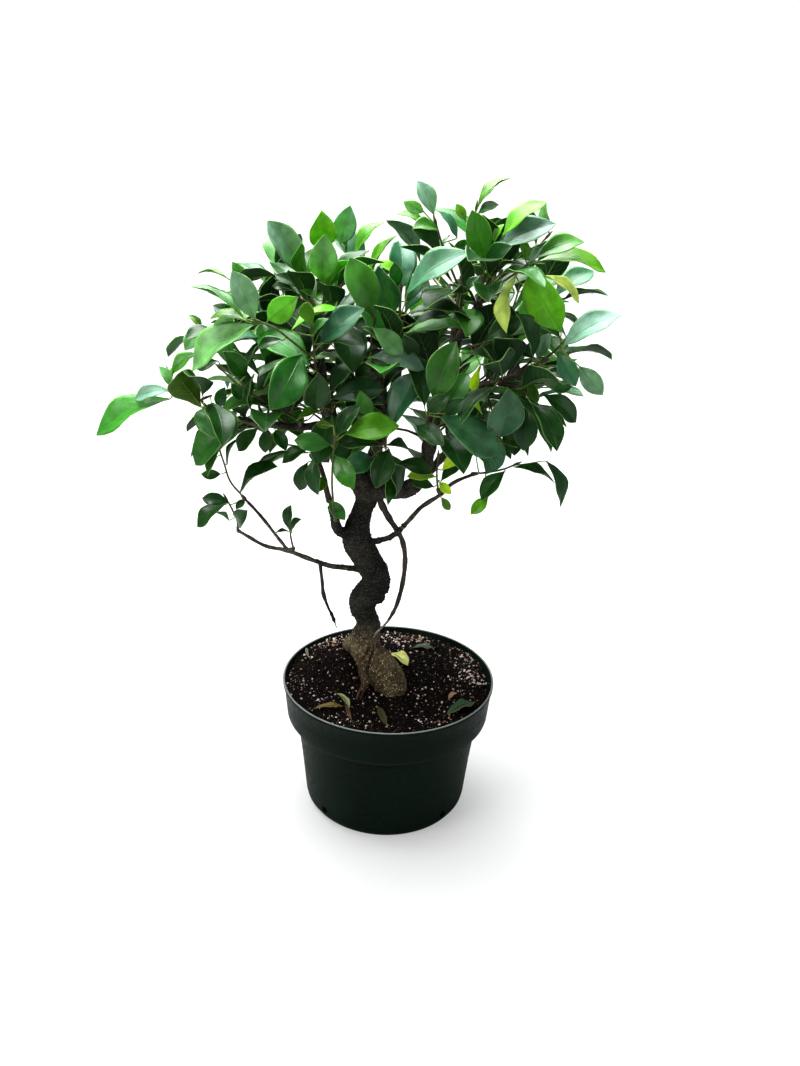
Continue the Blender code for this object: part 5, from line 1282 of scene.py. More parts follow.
def relief_tree():
    """Raises bark wrinkles and warts on a surface."""
    wiring, given = geometry_tree("bark relief", {
        "Swell": "Float", "Wrinkle": "Float", "Wart": "Float", "Material": "Material"})
    place = wiring.position()
    stretched = wiring.vector("MULTIPLY", place, (1.0, 1.0, 2.6))
    swell = wiring.lumps(place, 55.0, given["Swell"], 2.0)
    wrinkle = wiring.lumps(stretched, 260.0, given["Wrinkle"], 4.0, 0.6)
    cells = wiring.add("ShaderNodeTexVoronoi", {"Vector": place, "Scale": 300.0}).outputs["Distance"]
    wart = wiring.product(wiring.ramp(cells, 0.32, 0.08), wiring.ramp(wiring.noise(place, 90.0), 0.42, 0.56),
                          given["Wart"])
    height = wiring.math("ADD", swell, wiring.math("ADD", wrinkle, wart))
    return close_tree(wiring, wiring.pushed(given["Geometry"], height), given["Material"])


def shader_group(name, inputs):
    """An empty shader group that gives a colour, a height and a grain, and the wiring to fill it."""
    tree = bpy.data.node_groups.new(name, "ShaderNodeTree")
    for label, value in inputs.items():
        kind = "Color" if isinstance(value, tuple) else "Float"
        socket = tree.interface.new_socket(label, in_out="INPUT", socket_type="NodeSocket" + kind)
        socket.default_value = value
    for label, kind in (("Color", "Color"), ("Height", "Float"), ("Grain", "Float")):
        tree.interface.new_socket(label, in_out="OUTPUT", socket_type="NodeSocket" + kind)
    wiring = Wiring(tree)
    return wiring, wiring.add("NodeGroupInput").outputs, wiring.add("NodeGroupOutput").inputs


def speckle_group():
    """Colour broken up by broad patches, fine grain and small bright specks."""
    wiring, given, gives = shader_group("patches and specks", {
        "Color": (0.5, 0.5, 0.5, 1), "Patch Color": (0.3, 0.3, 0.3, 1), "Speck Color": (0.8, 0.8, 0.8, 1),
        "Patch Scale": 20.0, "Grain Scale": 300.0, "Speck Scale": 400.0, "Speck Share": 0.3,
        "Grain Share": 0.5})
    place = wiring.object_place()
    patch = wiring.ramp(wiring.noise(place, given["Patch Scale"], 4.0, 0.4), 0.38, 0.62)
    grain = wiring.noise(place, given["Grain Scale"], 5.0)
    cells = wiring.add("ShaderNodeTexVoronoi", {"Vector": place, "Scale": given["Speck Scale"]}).outputs
    drawn = wiring.add("ShaderNodeSeparateColor", {0: cells["Color"]}).outputs[0]
    chosen = wiring.math("LESS_THAN", drawn, given["Speck Share"])
    speck = wiring.product(wiring.ramp(cells["Distance"], 0.34, 0.16), chosen)
    base = wiring.mix(patch, given["Color"], given["Patch Color"])
    grained = wiring.mix(1.0, base, wiring.ramp(grain, 0.25, 0.75, 0.35, 1.5), "MULTIPLY")
    shaded = wiring.mix(given["Grain Share"], base, grained)
    wiring.feed(gives["Color"], wiring.mix(speck, shaded, given["Speck Color"]))
    wiring.feed(gives["Height"], wiring.math("ADD", grain, wiring.product(speck, 0.5)))
    wiring.feed(gives["Grain"], grain)
    return wiring.tree


def leaf_group():
    """A leaf's face: its own tint, mottled, with a pale midrib, faint side veins and a pale margin."""
    wiring, given, gives = shader_group("leaf face", {
        "Veins": 0.2, "Midrib": 0.5, "Margin": 0.7,
        "Vein Color": (0.3, 0.5, 0.15, 1), "Margin Color": (0.5, 0.7, 0.2, 1)})
    tint = wiring.add("ShaderNodeAttribute", attribute_name="tint").outputs["Color"]
    along, across = wiring.split(wiring.add("ShaderNodeUVMap", uv_map=LEAF_UV).outputs[0])[:2]
    away = wiring.math("ABSOLUTE", wiring.math("SUBTRACT", wiring.product(across, 2.0), 1.0))
    midrib = wiring.ramp(away, 0.0, wiring.ramp(along, 0.0, 1.0, 0.09, 0.02), 1.0, 0.0)
    midrib = wiring.product(midrib, wiring.ramp(along, 0.95, 0.2, 0.35, 1.0))
    rows = wiring.math("SUBTRACT", wiring.product(along, VEIN_ROWS), wiring.product(away, VEIN_SLANT))
    line = wiring.math("ABSOLUTE", wiring.math("SUBTRACT", wiring.math("FRACT", rows), 0.5))
    vein = wiring.product(wiring.ramp(line, 0.10, 0.0), wiring.ramp(away, 0.95, 0.3))
    margin = wiring.ramp(away, 0.955, 0.995)
    mottle = wiring.noise(wiring.object_place(), 110.0, 4.0, 0.3)
    color = wiring.mix(1.0, tint, wiring.ramp(mottle, 0.25, 0.75, 0.72, 1.28), "MULTIPLY")
    color = wiring.mix(wiring.product(vein, given["Veins"]), color, given["Vein Color"])
    color = wiring.mix(wiring.product(midrib, given["Midrib"]), color, given["Vein Color"])
    wiring.feed(gives["Color"], wiring.mix(
        wiring.product(margin, given["Margin"]), color, given["Margin Color"]))
    lines = wiring.math("ADD", midrib, wiring.product(vein, 0.18))
    wiring.feed(gives["Height"], wiring.math("SUBTRACT", wiring.product(mottle, 0.35), lines))
    wiring.feed(gives["Grain"], mottle)
    return wiring.tree


def finish(name, roughness, **constants):
    """A material with its own shader, the shader's constants set on its sockets, and its wiring."""
    made = bpy.data.materials.new(name)
    made.use_nodes = True
    wiring = Wiring(made.node_tree)
    shader = made.node_tree.nodes["Principled BSDF"]
    shader.inputs["Roughness"].default_value = roughness
    for label, value in constants.items():
        shader.inputs[label.replace("_", " ")].default_value = value
    return made, wiring, shader


def surfaced(name, group, sockets, roughness, spread, depth, **constants):
    """A material whose colour, relief and uneven roughness come from a shader group."""
    made, wiring, shader = finish(name, roughness, **constants)
    face = wiring.group(group, sockets)
    uneven = wiring.ramp(face["Grain"], 0.25, 0.75, roughness - spread, roughness + spread)
    relief = wiring.add("ShaderNodeBump", {"Height": face["Height"], "Distance": depth}).outputs[0]
    wiring.feed(shader.inputs["Base Color"], face["Color"])
    wiring.feed(shader.inputs["Roughness"], uneven)
    wiring.feed(shader.inputs["Normal"], relief)
    return made, wiring, shader, face["Color"]


def speckles(color, patch, speck, scales, share, grain_share=0.5):
    """What the speckle group is fed: three colours, the scales of patches, grain and specks, two shares."""
    return {"Color": (*color, 1), "Patch Color": (*patch, 1), "Speck Color": (*speck, 1),
            "Patch Scale": scales[0], "Grain Scale": scales[1], "Speck Scale": scales[2],
            "Speck Share": share, "Grain Share": grain_share}


def bark_finish(group):
    """Grey-black bark with pale specks, olive-brown at the foot, grey-brown at the fork and where slender,
    and painted shade in the foot's creases.
    """
    made, wiring, shader, stout = surfaced("bark", group, speckles(*STOUT_BARK), 0.78, GRAIN_SPREAD, 0.0009,
                                           Specular_IOR_Level=0.2)
    slim, foot = (wiring.group(group, speckles(*look))["Color"] for look in (SLIM_BARK, FOOT_BARK))
    height = wiring.split(wiring.object_place())["Z"]
    slender = wiring.product(wiring.mark("slender"), 0.85)
    fork = wiring.ramp(height, *FORK_HEIGHTS, 0.0, 0.42)
    color = wiring.mix(wiring.math("MAXIMUM", slender, fork),
                       wiring.mix(wiring.ramp(height, *FOOT_HEIGHTS), stout, foot), slim)
    # The pressed creases darkened: painted shade in the grooves
    crease = wiring.ramp(wiring.mark("crease"), 0.1, 0.8, 0.0, 0.65)
    wiring.feed(shader.inputs["Base Color"], wiring.mix(crease, color, (0.012, 0.010, 0.007, 1)))
    return made


def plastic_finish(group):
    """Dark green moulded plastic: a faint haze of scuffs and fine scratches round the pot, with painted light
    on it: a greyer band for its sheen, painted shade under the band, a painted highlight near the band's foot
    and a pale painted highlight round the top.
    """
    made, wiring, shader, color = surfaced("pot_plastic", group, speckles(*PLASTIC), 0.42, GRAIN_SPREAD,
                                           0.00006, IOR=1.2)
    place = wiring.object_place()
    height = wiring.split(place)["Z"]

    def from_band(low, high, *levels):
        """A ramp between two heights in millimetres above the band's foot."""
        foot = POT_HEIGHT - BAND_HEIGHT
        return wiring.ramp(height, (foot + low) * MM, (foot + high) * MM, *levels)

    flat = wiring.vector("MULTIPLY", place, (1.0, 1.0, 14.0))
    scratch = wiring.ramp(wiring.noise(flat, 90.0, 6.0, 1.2), 0.62, 0.76)
    dust = wiring.ramp(wiring.noise(place, 18.0, 5.0), 0.52, 0.72)
    # The top millimetre of the pot: a pale painted highlight
    lip_highlight = wiring.ramp(height, (POT_HEIGHT - 1.0) * MM, (POT_HEIGHT - 0.1) * MM)
    # The band, whose greyer tone is painted sheen
    band = from_band(-1.0, 1.5)
    # Just under the band, where it overhangs the body: painted shade
    crease = wiring.product(from_band(-12.0, -1.0), wiring.math("SUBTRACT", 1.0, band))
    # Near the band's foot: a painted highlight
    band_edge_highlight = wiring.product(band, from_band(6.0, 2.0, 0.0, 0.6))
    # Colours mixed over the body: the band's painted sheen, the painted shade under it, the painted highlight
    # near its foot, the real scratched dust and the painted highlight round the top
    for share, over in ((band, (0.0024, 0.0122, 0.0060, 1)),
                        (wiring.product(crease, 0.92), (0.0003, 0.0009, 0.0007, 1)),
                        (band_edge_highlight, (0.012, 0.022, 0.018, 1)),
                        (wiring.product(scratch, dust, 0.30), (0.17, 0.19, 0.18, 1)),
                        (wiring.product(lip_highlight, 0.85), (0.36, 0.38, 0.36, 1))):
        color = wiring.mix(share, color, over)
    wiring.feed(shader.inputs["Base Color"], color)
    return made


def make_finishes():
    """Every material, by the name that the pieces ask for."""
    speckle, leaf = speckle_group(), leaf_group()
    made = {}
    for key, (name, roughness, depth, specular, *look) in SPECKLED.items():
        made[key] = surfaced(name, speckle, speckles(*look), roughness, GRAIN_SPREAD, depth,
                             Specular_IOR_Level=specular)[0]
    for name, (roughness, spread, shares, vein, margin, constants) in LEAF_LOOKS.items():
        sockets = dict(zip(("Veins", "Midrib", "Margin"), shares))
        sockets.update({"Vein Color": (*vein, 1), "Margin Color": (*margin, 1)})
        made[name] = surfaced(name, leaf, sockets, roughness, spread, 0.0003, **constants)[0]
    return {**made, "bark": bark_finish(speckle), "plastic": plastic_finish(speckle)}


def tint_of(tone, draw):
    """A leaf's own colour: its tone's colour, drawn a little lighter or darker, yellower or bluer."""
    red, green, blue = TINTS[tone]
    light = draw.uniform(*TINT_LIGHT)
    warm = draw.uniform(*(TINT_WARM if tone in WARM_TONES else PALE_WARM))
    return red * light * (1 + warm), green * light, blue * light * (1 - warm), 1.0


def leaf_points(leaves, draw):
    """A mesh with one vertex for each leaf, which carries the leaf's frame, sizes and tint."""
    mesh = bpy.data.meshes.new("points")
    mesh.from_pydata([(0, 0, 0)] * len(leaves), [], [])
    rows = []
    for leaf in leaves:
        droop = BOW * draw.uniform(*FINE_DROOPS) * (UNDER_DROOP if leaf.underside else 1)
        leaf.dressed(droop, draw.uniform(*FINE_TWISTS))
        rows.append((leaf.length * MM, leaf.width * FULLNESS * MM, leaf.droop, leaf.twist,
                     draw.uniform(0, math.tau)))
    for key, values in zip(LEAF_NUMBERS, zip(*rows)):
        mesh.attributes.new(key, "FLOAT", "POINT").data.foreach_set("value", values)
    for key, vectors in zip(LEAF_VECTORS, zip(*((leaf.base * MM, leaf.along, leaf.up) for leaf in leaves))):
        values = [x for vector in vectors for x in vector]
        mesh.attributes.new(key, "FLOAT_VECTOR", "POINT").data.foreach_set("vector", values)
    tints = [channel for leaf in leaves for channel in tint_of(leaf.tone, draw)]
    mesh.attributes.new("tint", "FLOAT_COLOR", "POINT").data.foreach_set("color", tints)
    return new_object("points", mesh)


def petiole_strand(leaf):
    """A petiole that leaves the stem, bends into the blade and runs on below it as the raised midrib."""
    reach = (leaf.base - leaf.root).length
    middle = leaf.root.lerp(leaf.base, 0.55) - leaf.up * (reach * 0.06)
    path = smooth_path([leaf.root, middle, leaf.rib(0.0), *(leaf.rib(t) for t in MIDRIB_STATIONS)], 3)
    count = len(path) - 1
    return path, [PETIOLE_THICK + (RIB_THIN - PETIOLE_THICK) * (i / count) ** 1.4 for i in range(count + 1)]


def bud_strand(stem):
    """The pointed bud that closes a shoot's end."""
    ahead = (stem[-1] - stem[-2]).normalized()
    path = [stem[-1] + ahead * (BUD_LENGTH * t) for t, _ in BUD_SHAPE]
    return path, [radius for _, radius in BUD_SHAPE]


def tubes(name, strands, kit, look, shape):
    """Round tubes along some strands, in a finish and with the shape of one of the tube tables."""
    sides, lump, scale = shape
    return grown(name, strands_object(name, strands), kit["tube"], {
        "Sides": sides, "Lump": lump, "Lump Scale": scale, "Material": kit[look]})


def blades_of(leaves, kit, draw, fold, bow, wave, looks):
    """The fine blades of some leaves, in the finishes of their upper face, underside and rim."""
    upper, under, rim = (kit[look] for look in looks)
    return grown("blades", leaf_points(leaves, draw), kit["leaf"], {
        "Stations": BLADE_STATIONS, "Spans": BLADE_SPANS, "Fold": fold, "Bow": bow, "Wave": wave,
        "Thickness": BLADE_SKIN, "Upper": upper, "Under": under, "Rim": rim})


def shoot_piece(name, stem, leaves, stem_radius, kit, draw, bud=True):
    """One leafy shoot: blades, petioles, the stem and its bud."""
    blades = blades_of(leaves, kit, draw, LEAF_FOLD, BOW, LEAF_WAVE, LIVE_LOOKS)
    path = smooth_path(stem, STEM_STEPS)
    strands = [(path, [stem_radius * (1 - STEM_TAPER * i / len(path)) for i in range(len(path))])]
    if bud:
        strands.append(bud_strand(path))
    petioles = [petiole_strand(leaf) for leaf in leaves]
    return joined(name, [blades, tubes("stem", strands, kit, "stalk", STALK_TUBE),
                         tubes("petioles", petioles, kit, "petiole", STALK_TUBE)])


def dress_shoots(plan, kit):
    """The shoots that the part has, one piece for each."""
    draw = random.Random(TINT_SEED)
    for name in [*SHOOTS, *FILLERS]:
        piece = shoot_piece("leafy_" + name, plan.stems[name], plan.leaves[name], FINE_STEM_RADIUS, kit, draw)
        take(piece, "leaf", "shoot_" + name)


def dress_sprigs(plan, sprigs, kit):
    """The sprigs inside the crown and the leaf beside the broken stub, all leaves one piece, all wood one."""
    draw = random.Random(SPRIG_SEED)
    pieces = []
    for name in sprigs:
        leaves = plan.leaves[name]
        if not leaves:
            continue
        for leaf in leaves:
            leaf.tone = leaf.tone if leaf.tone in INNER_TONES else DARK
        stem = plan.stems[name][1:]
        pieces.append(shoot_piece(name, stem, leaves, SPRIG_STEM_RADIUS, kit, draw, bud=False))
    stub = plan.stems["left_hanging"]
    beside = next(plan.seen_choices("left_hanging", HANGING_LEAF))
    pieces.append(shoot_piece("hanging", stub[:2], [beside], SPRIG_STEM_RADIUS, kit, draw, bud=False))
    take(joined("inner_leaves", pieces), "leaf")
    wood = [(smooth_path(plan.stems[name], STEM_STEPS), SPRIG_WOOD_RADII) for name in sprigs]
    wood.append((smooth_path(stub[:4], STEM_STEPS), STUB_RADII))
    take(tubes("inner_twigs", wood, kit, "twig", TWIG_TUBE), "bark")


def take(piece, slot, *nodes):
    """Parents a finished piece to the root body's empty and hides the imported parts that it replaces."""
    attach(piece, "root")
    if nodes:
        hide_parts(*nodes)


def fine_path(path, radii, step):
    """A limb's path and radii, smoothed to a point about every step millimetres."""
    length = sum((b - a).length for a, b in zip(path, path[1:]))
    steps = max(2, round(length / step / (len(path) - 1)))
    return smooth_path(path, steps), smooth_radii(radii, steps)


def knotted(path, radii, draw):
    """Radii with the slight swellings that old leaf scars leave along a branch."""
    return path, [radius * (1 + KNOT_SWELL * math.sin(i * KNOT_TURN + draw.uniform(0, 0.9)))
                  for i, radius in enumerate(radii)]


def dress_wood(plan, kit):
    """The limbs and woody twigs, the hanging roots and the trunk, into which the stoutest limbs run."""
    draw = random.Random(SEED)
    branches, roots, heavy = [], [], []
    for name in LIMBS:
        path, radii = plan.limbs[name]
        thinning = LOW_THINNING if name in LOW_LIMBS else 1
        fine, widths = fine_path(path, [radius * thinning for radius in radii], WOOD_STEP)
        branches.append(knotted(fine, widths, draw))
        if name in JOINED_LIMBS:
            count = sum(1 for p in fine if (p - fine[0]).length < JOIN_REACH)
            heavy.append((fine[:count], [width * 1.04 for width in widths[:count]]))
    for path in plan.twigs.values():
        radii = [TWIG_RADIUS * 0.9] * (len(path) - 1) + [STEM_RADIUS]
        branches.append(knotted(*fine_path(path, radii, WOOD_STEP), draw))
    take(tubes("branches", branches, kit, "bark", BRANCH_TUBE), "bark", "tree")
    for name in HANGING_ROOTS:
        roots.append(knotted(*fine_path(*plan.limbs["root_" + name], ROOT_STEP), draw))
    for label, strands, look in (("hanging_roots", roots[:2], "root"),
                                 ("front_roots", roots[2:4], "young_root"),
                                 ("root_ends", roots[4:], "pale_root")):
        take(tubes(label, strands, kit, look, ROOT_TUBE), "bark", "tree")
    take(build_trunk(heavy, kit), "bark", "tree")


def trunk_loft():
    """The trunk's sections, drawn fine."""
    centres, axes, widths, depths = zip(*trunk_sections())
    rows = zip(smooth_path(centres, TRUNK_STEPS), smooth_path(axes, TRUNK_STEPS),
               smooth_radii(widths, TRUNK_STEPS), smooth_radii(depths, TRUNK_STEPS))
    return loft_mesh([(centre, axis.normalized(), width, depth) for centre, axis, width, depth in rows],
                     TRUNK_FINE_SIDES)


def build_trunk(heavy, kit):
    """The trunk with its flared foot and the feet of its limbs, grown into one skin and given its bark."""
    core = mesh_object("core", *trunk_loft())
    flares = [fine_path(*strand_of(rows), WOOD_STEP) for rows in FLARES.values()]
    trunk = joined("trunk", [core, tubes("tubes", flares + heavy, kit, "bark", FLARE_TUBE)])
    remesh = trunk.modifiers.new("one skin", "REMESH")
    remesh.mode = "VOXEL"
    remesh.voxel_size = TRUNK_VOXEL * MM
    soften = trunk.modifiers.new("soften", "SMOOTH")
    soften.factor = 0.5
    soften.iterations = 6
    trunk = grown("trunk", trunk, kit["relief"], {**BARK_RELIEF, "Material": kit["bark"]})
    press_creases(trunk.data)
    return trunk


def press_creases(mesh):
    """Presses the foot's creases into the trunk and marks them for its finish, which paints shade in them."""
    surface = BVHTree.FromPolygons([vertex.co / MM for vertex in mesh.vertices],
                                   [face.vertices for face in mesh.polygons])
    lines = []
    for pixels in CREASES:
        for pixel in smooth_path([Vector((*pixel, 0)) for pixel in pixels], 8):
            lines.append(surface.ray_cast(VIEW_EYE, sight(pixel.x, pixel.y))[:2])
    near = KDTree(len(lines))
    for i, (point, _) in enumerate(lines):
        near.insert(point, i)
    near.balance()
    marks = []
    for vertex in mesh.vertices:
        _, i, gap = near.find(vertex.co / MM)
        mark = max(0.0, 1 - gap / CREASE_WIDTH)
        vertex.co -= lines[i][1] * (CREASE_DEPTH * MM * mark)
        marks.append(mark)
    mesh.attributes.new("crease", "FLOAT", "POINT").data.foreach_set("value", marks)


def pot_outline():
    """The pot's outline, from the rim down the outer side, under the base and up the inner side."""
    band_foot = POT_HEIGHT - BAND_HEIGHT
    body_top = BODY_TOP_RADIUS + BODY_SWELL
    inner_base = WALL + FOOT_RECESS
    ring_outside = BASE_RADIUS - 5.0
    ring_inside = ring_outside - FOOT_RING_WIDTH
    return (
        (RIM_RADIUS - WALL, POT_HEIGHT - 0.7),
        (RIM_RADIUS - WALL + 0.4, POT_HEIGHT - 0.15),
        (RIM_RADIUS - 1.0, POT_HEIGHT),
        (RIM_RADIUS - 0.3, POT_HEIGHT - 0.3),
        (RIM_RADIUS, POT_HEIGHT - 1.0),
        (RIM_RADIUS - 0.1, POT_HEIGHT - 3.0),
        (RIM_RADIUS - 1.1, POT_HEIGHT - 4.0),
        (RIM_RADIUS - 2.6, POT_HEIGHT - 19.0),
        (BAND_FOOT_RADIUS + 1.6, band_foot + 3.0),
        (BAND_FOOT_RADIUS + 1.0, band_foot + 1.0),
        (BAND_FOOT_RADIUS - 0.6, band_foot),
        (body_top + 2.0, band_foot - 0.7),
        (body_top + 0.5, band_foot - 1.9),
        (body_top, band_foot - 4.0),
        (BASE_RADIUS + 5.4, (band_foot + BASE_ROUNDING) / 2),
        (BASE_RADIUS + 1.5, BASE_ROUNDING + 2.5),
        (BASE_RADIUS + 0.6, BASE_ROUNDING - 1.5),
        (BASE_RADIUS - 1.8, 1.9),
        (BASE_RADIUS - 3.4, 0.5),
        (ring_outside, 0.0),
        (ring_inside, 0.0),
        (ring_inside - RECESS_SLOPE, FOOT_RECESS),
        (CENTRE_FOOT_RADIUS + RECESS_SLOPE, FOOT_RECESS),
        (CENTRE_FOOT_RADIUS, 0.0),
        (0.0, 0.0),
        (0.0, inner_base),
        (BASE_RADIUS - 6.0, inner_base),
        (BASE_RADIUS - 3.0, BASE_ROUNDING + 1.0),
        (BODY_TOP_RADIUS - WALL, band_foot - 3.0),
        (BAND_FOOT_RADIUS - WALL - 2.0, band_foot + 2.4),
    )


def turned(name, profile, edges, steps, merged):
    """A profile in metres turned round the upright axis, its points merged there."""
    mesh = bpy.data.meshes.new(name)
    mesh.from_pydata(profile, edges, [])
    made = new_object(name, mesh)
    screw = made.modifiers.new("turn", "SCREW")
    screw.steps = screw.render_steps = steps
    screw.use_merge_vertices = True
    screw.merge_threshold = merged
    return made


def build_pot(kit):
    """The moulded pot, turned smooth, with its drain holes cut low in the wall."""
    profile = pot_outline()
    loop = list(zip(range(len(profile)), [*range(1, len(profile)), 0]))
    edges = [(i, j) for i, j in loop if profile[i][0] or profile[j][0]]
    pot = turned("pot_turned", [(r * MM, 0, z * MM) for r, z in profile], edges, POT_FINE_SIDES, 0.00005)
    shell = bmesh.new()
    for k in range(DRAINS):
        spin = Matrix.Rotation(math.tau * (k + 0.5) / DRAINS, 4, "Z")
        place = spin @ Matrix.Translation((BASE_RADIUS * MM, 0, DRAIN_HEIGHT * MM))
        lying = place @ Matrix.Rotation(math.radians(90), 4, "Y")
        bmesh.ops.create_cone(shell, cap_ends=True, segments=28, radius1=DRAIN_RADIUS * MM,
                              radius2=DRAIN_RADIUS * MM, depth=DRAIN_DEPTH * MM, matrix=lying)
    holes = bpy.data.meshes.new("drain_holes")
    shell.to_mesh(holes)
    shell.free()
    cutter = new_object("drain_holes", holes)
    cut = pot.modifiers.new("drains", "BOOLEAN")
    cut.operation = "DIFFERENCE"
    cut.solver = "EXACT"
    cut.object = cutter
    mesh = plain_mesh(pot)
    bpy.data.objects.remove(pot)
    bpy.data.objects.remove(cutter)
    turn_out(mesh)
    mesh.materials.clear()
    mesh.materials.append(kit["plastic"])
    mesh.shade_smooth()
    mesh.set_sharp_from_angle(angle=CRISP_ANGLE)
    take(new_object("nursery_pot", mesh), "pot", "pot")


def fine_soil_height(x, y):
    """The part's relief with clods and crumbs on it."""
    place = Vector((x, y, 0))
    clods = noise.noise(place * 0.11) * 1.3 + noise.noise(place * 0.33 + Vector((7, 3, 1))) * 0.8
    crumbs = noise.noise(place * 0.9) * 0.45
    return soil_height(x, y) + clods + crumbs


def perlite_chance(place):
    """How likely a white grain is at a place on the soil: a scattering, and the patches in the view."""
    across, down = project(place)
    chance = PERLITE_CHANCE + PERLITE_VARIES * noise.noise(place * 0.03)
    for x, y, wide, high, more in PERLITE_PATCHES:
        chance += more * math.exp(-((across - x) / wide) ** 2 - ((down - y) / high) ** 2)
    return max(PERLITE_LEAST, min(1.0, chance))


def soil_surface(outer):
    """Points and faces of the soil's top, ring by ring from the wall to the middle."""
    rings = round(outer / SOIL_STEP)
    points = [Vector((x, y, fine_soil_height(x, y))) for ring in range(rings)
              for x, y in circle(outer * (1 - ring / rings), SOIL_FINE_SPOKES)]
    points.append(Vector((0, 0, fine_soil_height(0, 0))))
    starts = [ring * SOIL_FINE_SPOKES for ring in range(rings)]
    faces = [face for low, high in zip(starts, starts[1:])
             for face in ring_faces(low, high, SOIL_FINE_SPOKES)]
    for k in range(SOIL_FINE_SPOKES):
        faces.append([starts[-1] + k, starts[-1] + (k + 1) % SOIL_FINE_SPOKES, len(points) - 1])
    return points, faces


def build_soil(kit):
    """The fill of the pot, with perlite and bark crumbs strewn on it."""
    points, faces = soil_surface(RIM_RADIUS - WALL - SOIL_INSET)
    top = mesh_object("soil_top", points, faces)
    chance = top.data.attributes.new("chance", "FLOAT", "POINT")
    chance.data.foreach_set("value", [perlite_chance(p) for p in points])
    bare = top.data.copy()
    bare.attributes["chance"].data.foreach_set("value", [1.0] * len(points))
    crumb_source = new_object("crumb_source", bare)
    take(grown("perlite", top, kit["scatter"], {**PERLITE, "Material": kit["perlite"]}), "soil")
    take(grown("soil_crumbs", crumb_source, kit["scatter"], {**CRUMBS, "Material": kit["crumb"]}), "soil")
    rings = [0]
    for radius, height in SOIL_SIDES:
        rings.append(len(points))
        points += [Vector((x, y, height)) for x, y in circle(radius, SOIL_FINE_SPOKES)]
    for high, low in zip(rings, rings[1:]):
        faces += ring_faces(low, high, SOIL_FINE_SPOKES)
    faces.append(list(range(rings[-1], rings[-1] + SOIL_FINE_SPOKES)))
    soil = mesh_object("potting_soil", points, faces)
    soil.data.materials.append(kit["soil"])
    soil.data.shade_smooth()
    take(soil, "soil", "soil")


def build_fallen(kit):
    """The dropped leaves, each where the part has it, dry ones curled, and smaller litter between them."""
    draw = random.Random(FALLEN_SEED)
    for name, (across, down, tip_across, tip_down, width, tone) in FALLEN.items():
        base, tip = on_soil(across, down), on_soil(tip_across, tip_down)
        low, high = (corner.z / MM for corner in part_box(name))
        base.z = low + (high - low) * DROPPED_FOOT
        tip.z = low + (high - low) * DROPPED_TIP
        piece = dropped_leaf(name.removeprefix("fallen_leaf_"), base, tip, width, tone, kit, draw)
        take(piece, "leaf_fallen" if tone in DRY_TONES else "leaf", name)
    for name, (across, down, tip_across, tip_down, width, tone, base_lift, tip_lift) in LITTER.items():
        base, tip = on_soil(across, down), on_soil(tip_across, tip_down)
        base.z = fine_soil_height(base.x, base.y) + base_lift
        tip.z = fine_soil_height(tip.x, tip.y) + tip_lift
        take(dropped_leaf(name, base, tip, width, tone, kit, draw), "leaf_fallen")


def dropped_leaf(name, base, tip, width, tone, kit, draw):
    """A leaf that lies on the soil, with what is left of its stalk."""
    leaf = Leaf(base, base, tip, Vector((0, 0, 1)), width, tone)
    fold = DRY_FOLD if tone in DRY_TONES else FOLD
    blades = blades_of([leaf], kit, draw, fold, DROPPED_BOW, DROPPED_WAVE, ["leaf_fallen"] * 3)
    leaf.root = base - leaf.along * min(FALLEN_STALK, width)
    stalk = tubes("stalk", [petiole_strand(leaf)], kit, "twig", STALK_TUBE)
    return joined("dropped_" + name, [blades, stalk])


def place_camera():
    ahead, right, up = view_axes()
    lens = bpy.data.cameras.new("camera")
    lens.sensor_width = SENSOR
    lens.lens = VIEW_FOCAL / PICTURE_HEIGHT * SENSOR
    lens.clip_start, lens.clip_end = 0.01, 20.0
    camera = new_object("camera", lens)
    turn = Matrix((right, up, -ahead)).transposed().to_4x4()
    camera.matrix_world = Matrix.Translation(VIEW_EYE * MM) @ turn
    bpy.context.scene.camera = camera


def soft_light(name, place, aim, size, power, colour):
    """A round light that shines towards a height over the pot's centre."""
    lamp = bpy.data.lights.new(name, "AREA")
    lamp.shape = "DISK"
    lamp.size = size
    lamp.energy = power
    lamp.color = colour
    made = new_object(name, lamp)
    made.location = place
    made.rotation_euler = (Vector((0, 0, aim)) - Vector(place)).to_track_quat("-Z", "Y").to_euler()


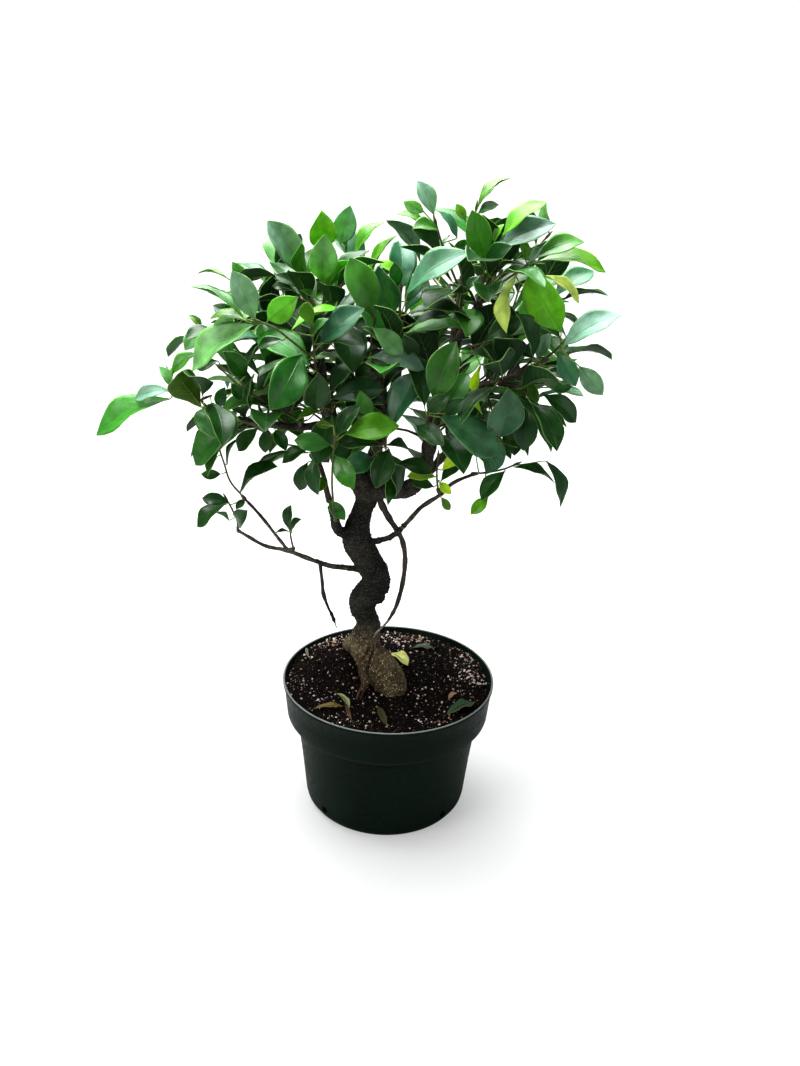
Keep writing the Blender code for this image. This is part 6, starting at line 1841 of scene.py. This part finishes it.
def set_stage():
    """A plain pale floor and sky, seen brighter than they light the tree, and three soft lights."""
    angles = [math.pi / 2 * i / SWEEP_STEPS for i in range(SWEEP_STEPS + 1)]
    profile = [(0.0, 0.0, 0.0), *((FLOOR_REACH + SWEEP_RADIUS * math.sin(a), 0.0,
                                   SWEEP_RADIUS * (1 - math.cos(a))) for a in angles)]
    edges = [(i, i + 1) for i in range(len(profile) - 1)]
    sweep = turned("floor_sweep", profile, edges, FLOOR_SIDES, 0.01)
    mesh = plain_mesh(sweep)
    bpy.data.objects.remove(sweep)
    mesh.shade_smooth()
    floor = new_object("floor", mesh)
    made, wiring, shader = finish("pale_floor", 0.6)
    place = wiring.object_place()
    shade = wiring.ramp(wiring.noise(place, 2.0, 2.0), 0.2, 0.8)
    wiring.feed(shader.inputs["Base Color"], wiring.mix(shade, (0.38, 0.38, 0.38, 1), (0.40, 0.40, 0.40, 1)))
    reach = wiring.add("ShaderNodeVectorMath", {0: place}, operation="LENGTH").outputs["Value"]
    looked_at = wiring.add("ShaderNodeLightPath").outputs["Is Camera Ray"]
    glow = wiring.product(wiring.ramp(reach, 0.15, FLOOR_REACH, 0.45, 1.0), looked_at)
    wiring.feed(shader.inputs["Emission Color"], wiring.mix(glow, (0, 0, 0, 1), (1, 1, 1, 1)))
    shader.inputs["Emission Strength"].default_value = 1.0
    mesh.materials.append(made)
    world = bpy.data.worlds.new("pale_sky")
    world.use_nodes = True
    wiring = Wiring(world.node_tree)
    looked_at = wiring.add("ShaderNodeLightPath").outputs["Is Camera Ray"]
    wiring.feed(world.node_tree.nodes["Background"].inputs["Color"],
                wiring.mix(looked_at, (SKY_LIGHT * 0.95, SKY_LIGHT * 0.98, SKY_LIGHT, 1), (1, 1, 1, 1)))
    bpy.context.scene.world = world
    for name, values in LIGHTS.items():
        soft_light(name, *values)


def main():
    kit = {"leaf": leaf_tree(), "tube": tube_tree(), "scatter": scatter_tree(), "relief": relief_tree(),
           **make_finishes()}
    plan = Plan()
    sprigs = add_sprigs(plan)
    set_stage()
    place_camera()
    build_pot(kit)
    build_soil(kit)
    dress_wood(plan, kit)
    dress_shoots(plan, kit)
    dress_sprigs(plan, sprigs, kit)
    build_fallen(kit)
    view = bpy.context.scene.view_settings
    view.view_transform = "Standard"
    view.gamma = VIEW_GAMMA


main()
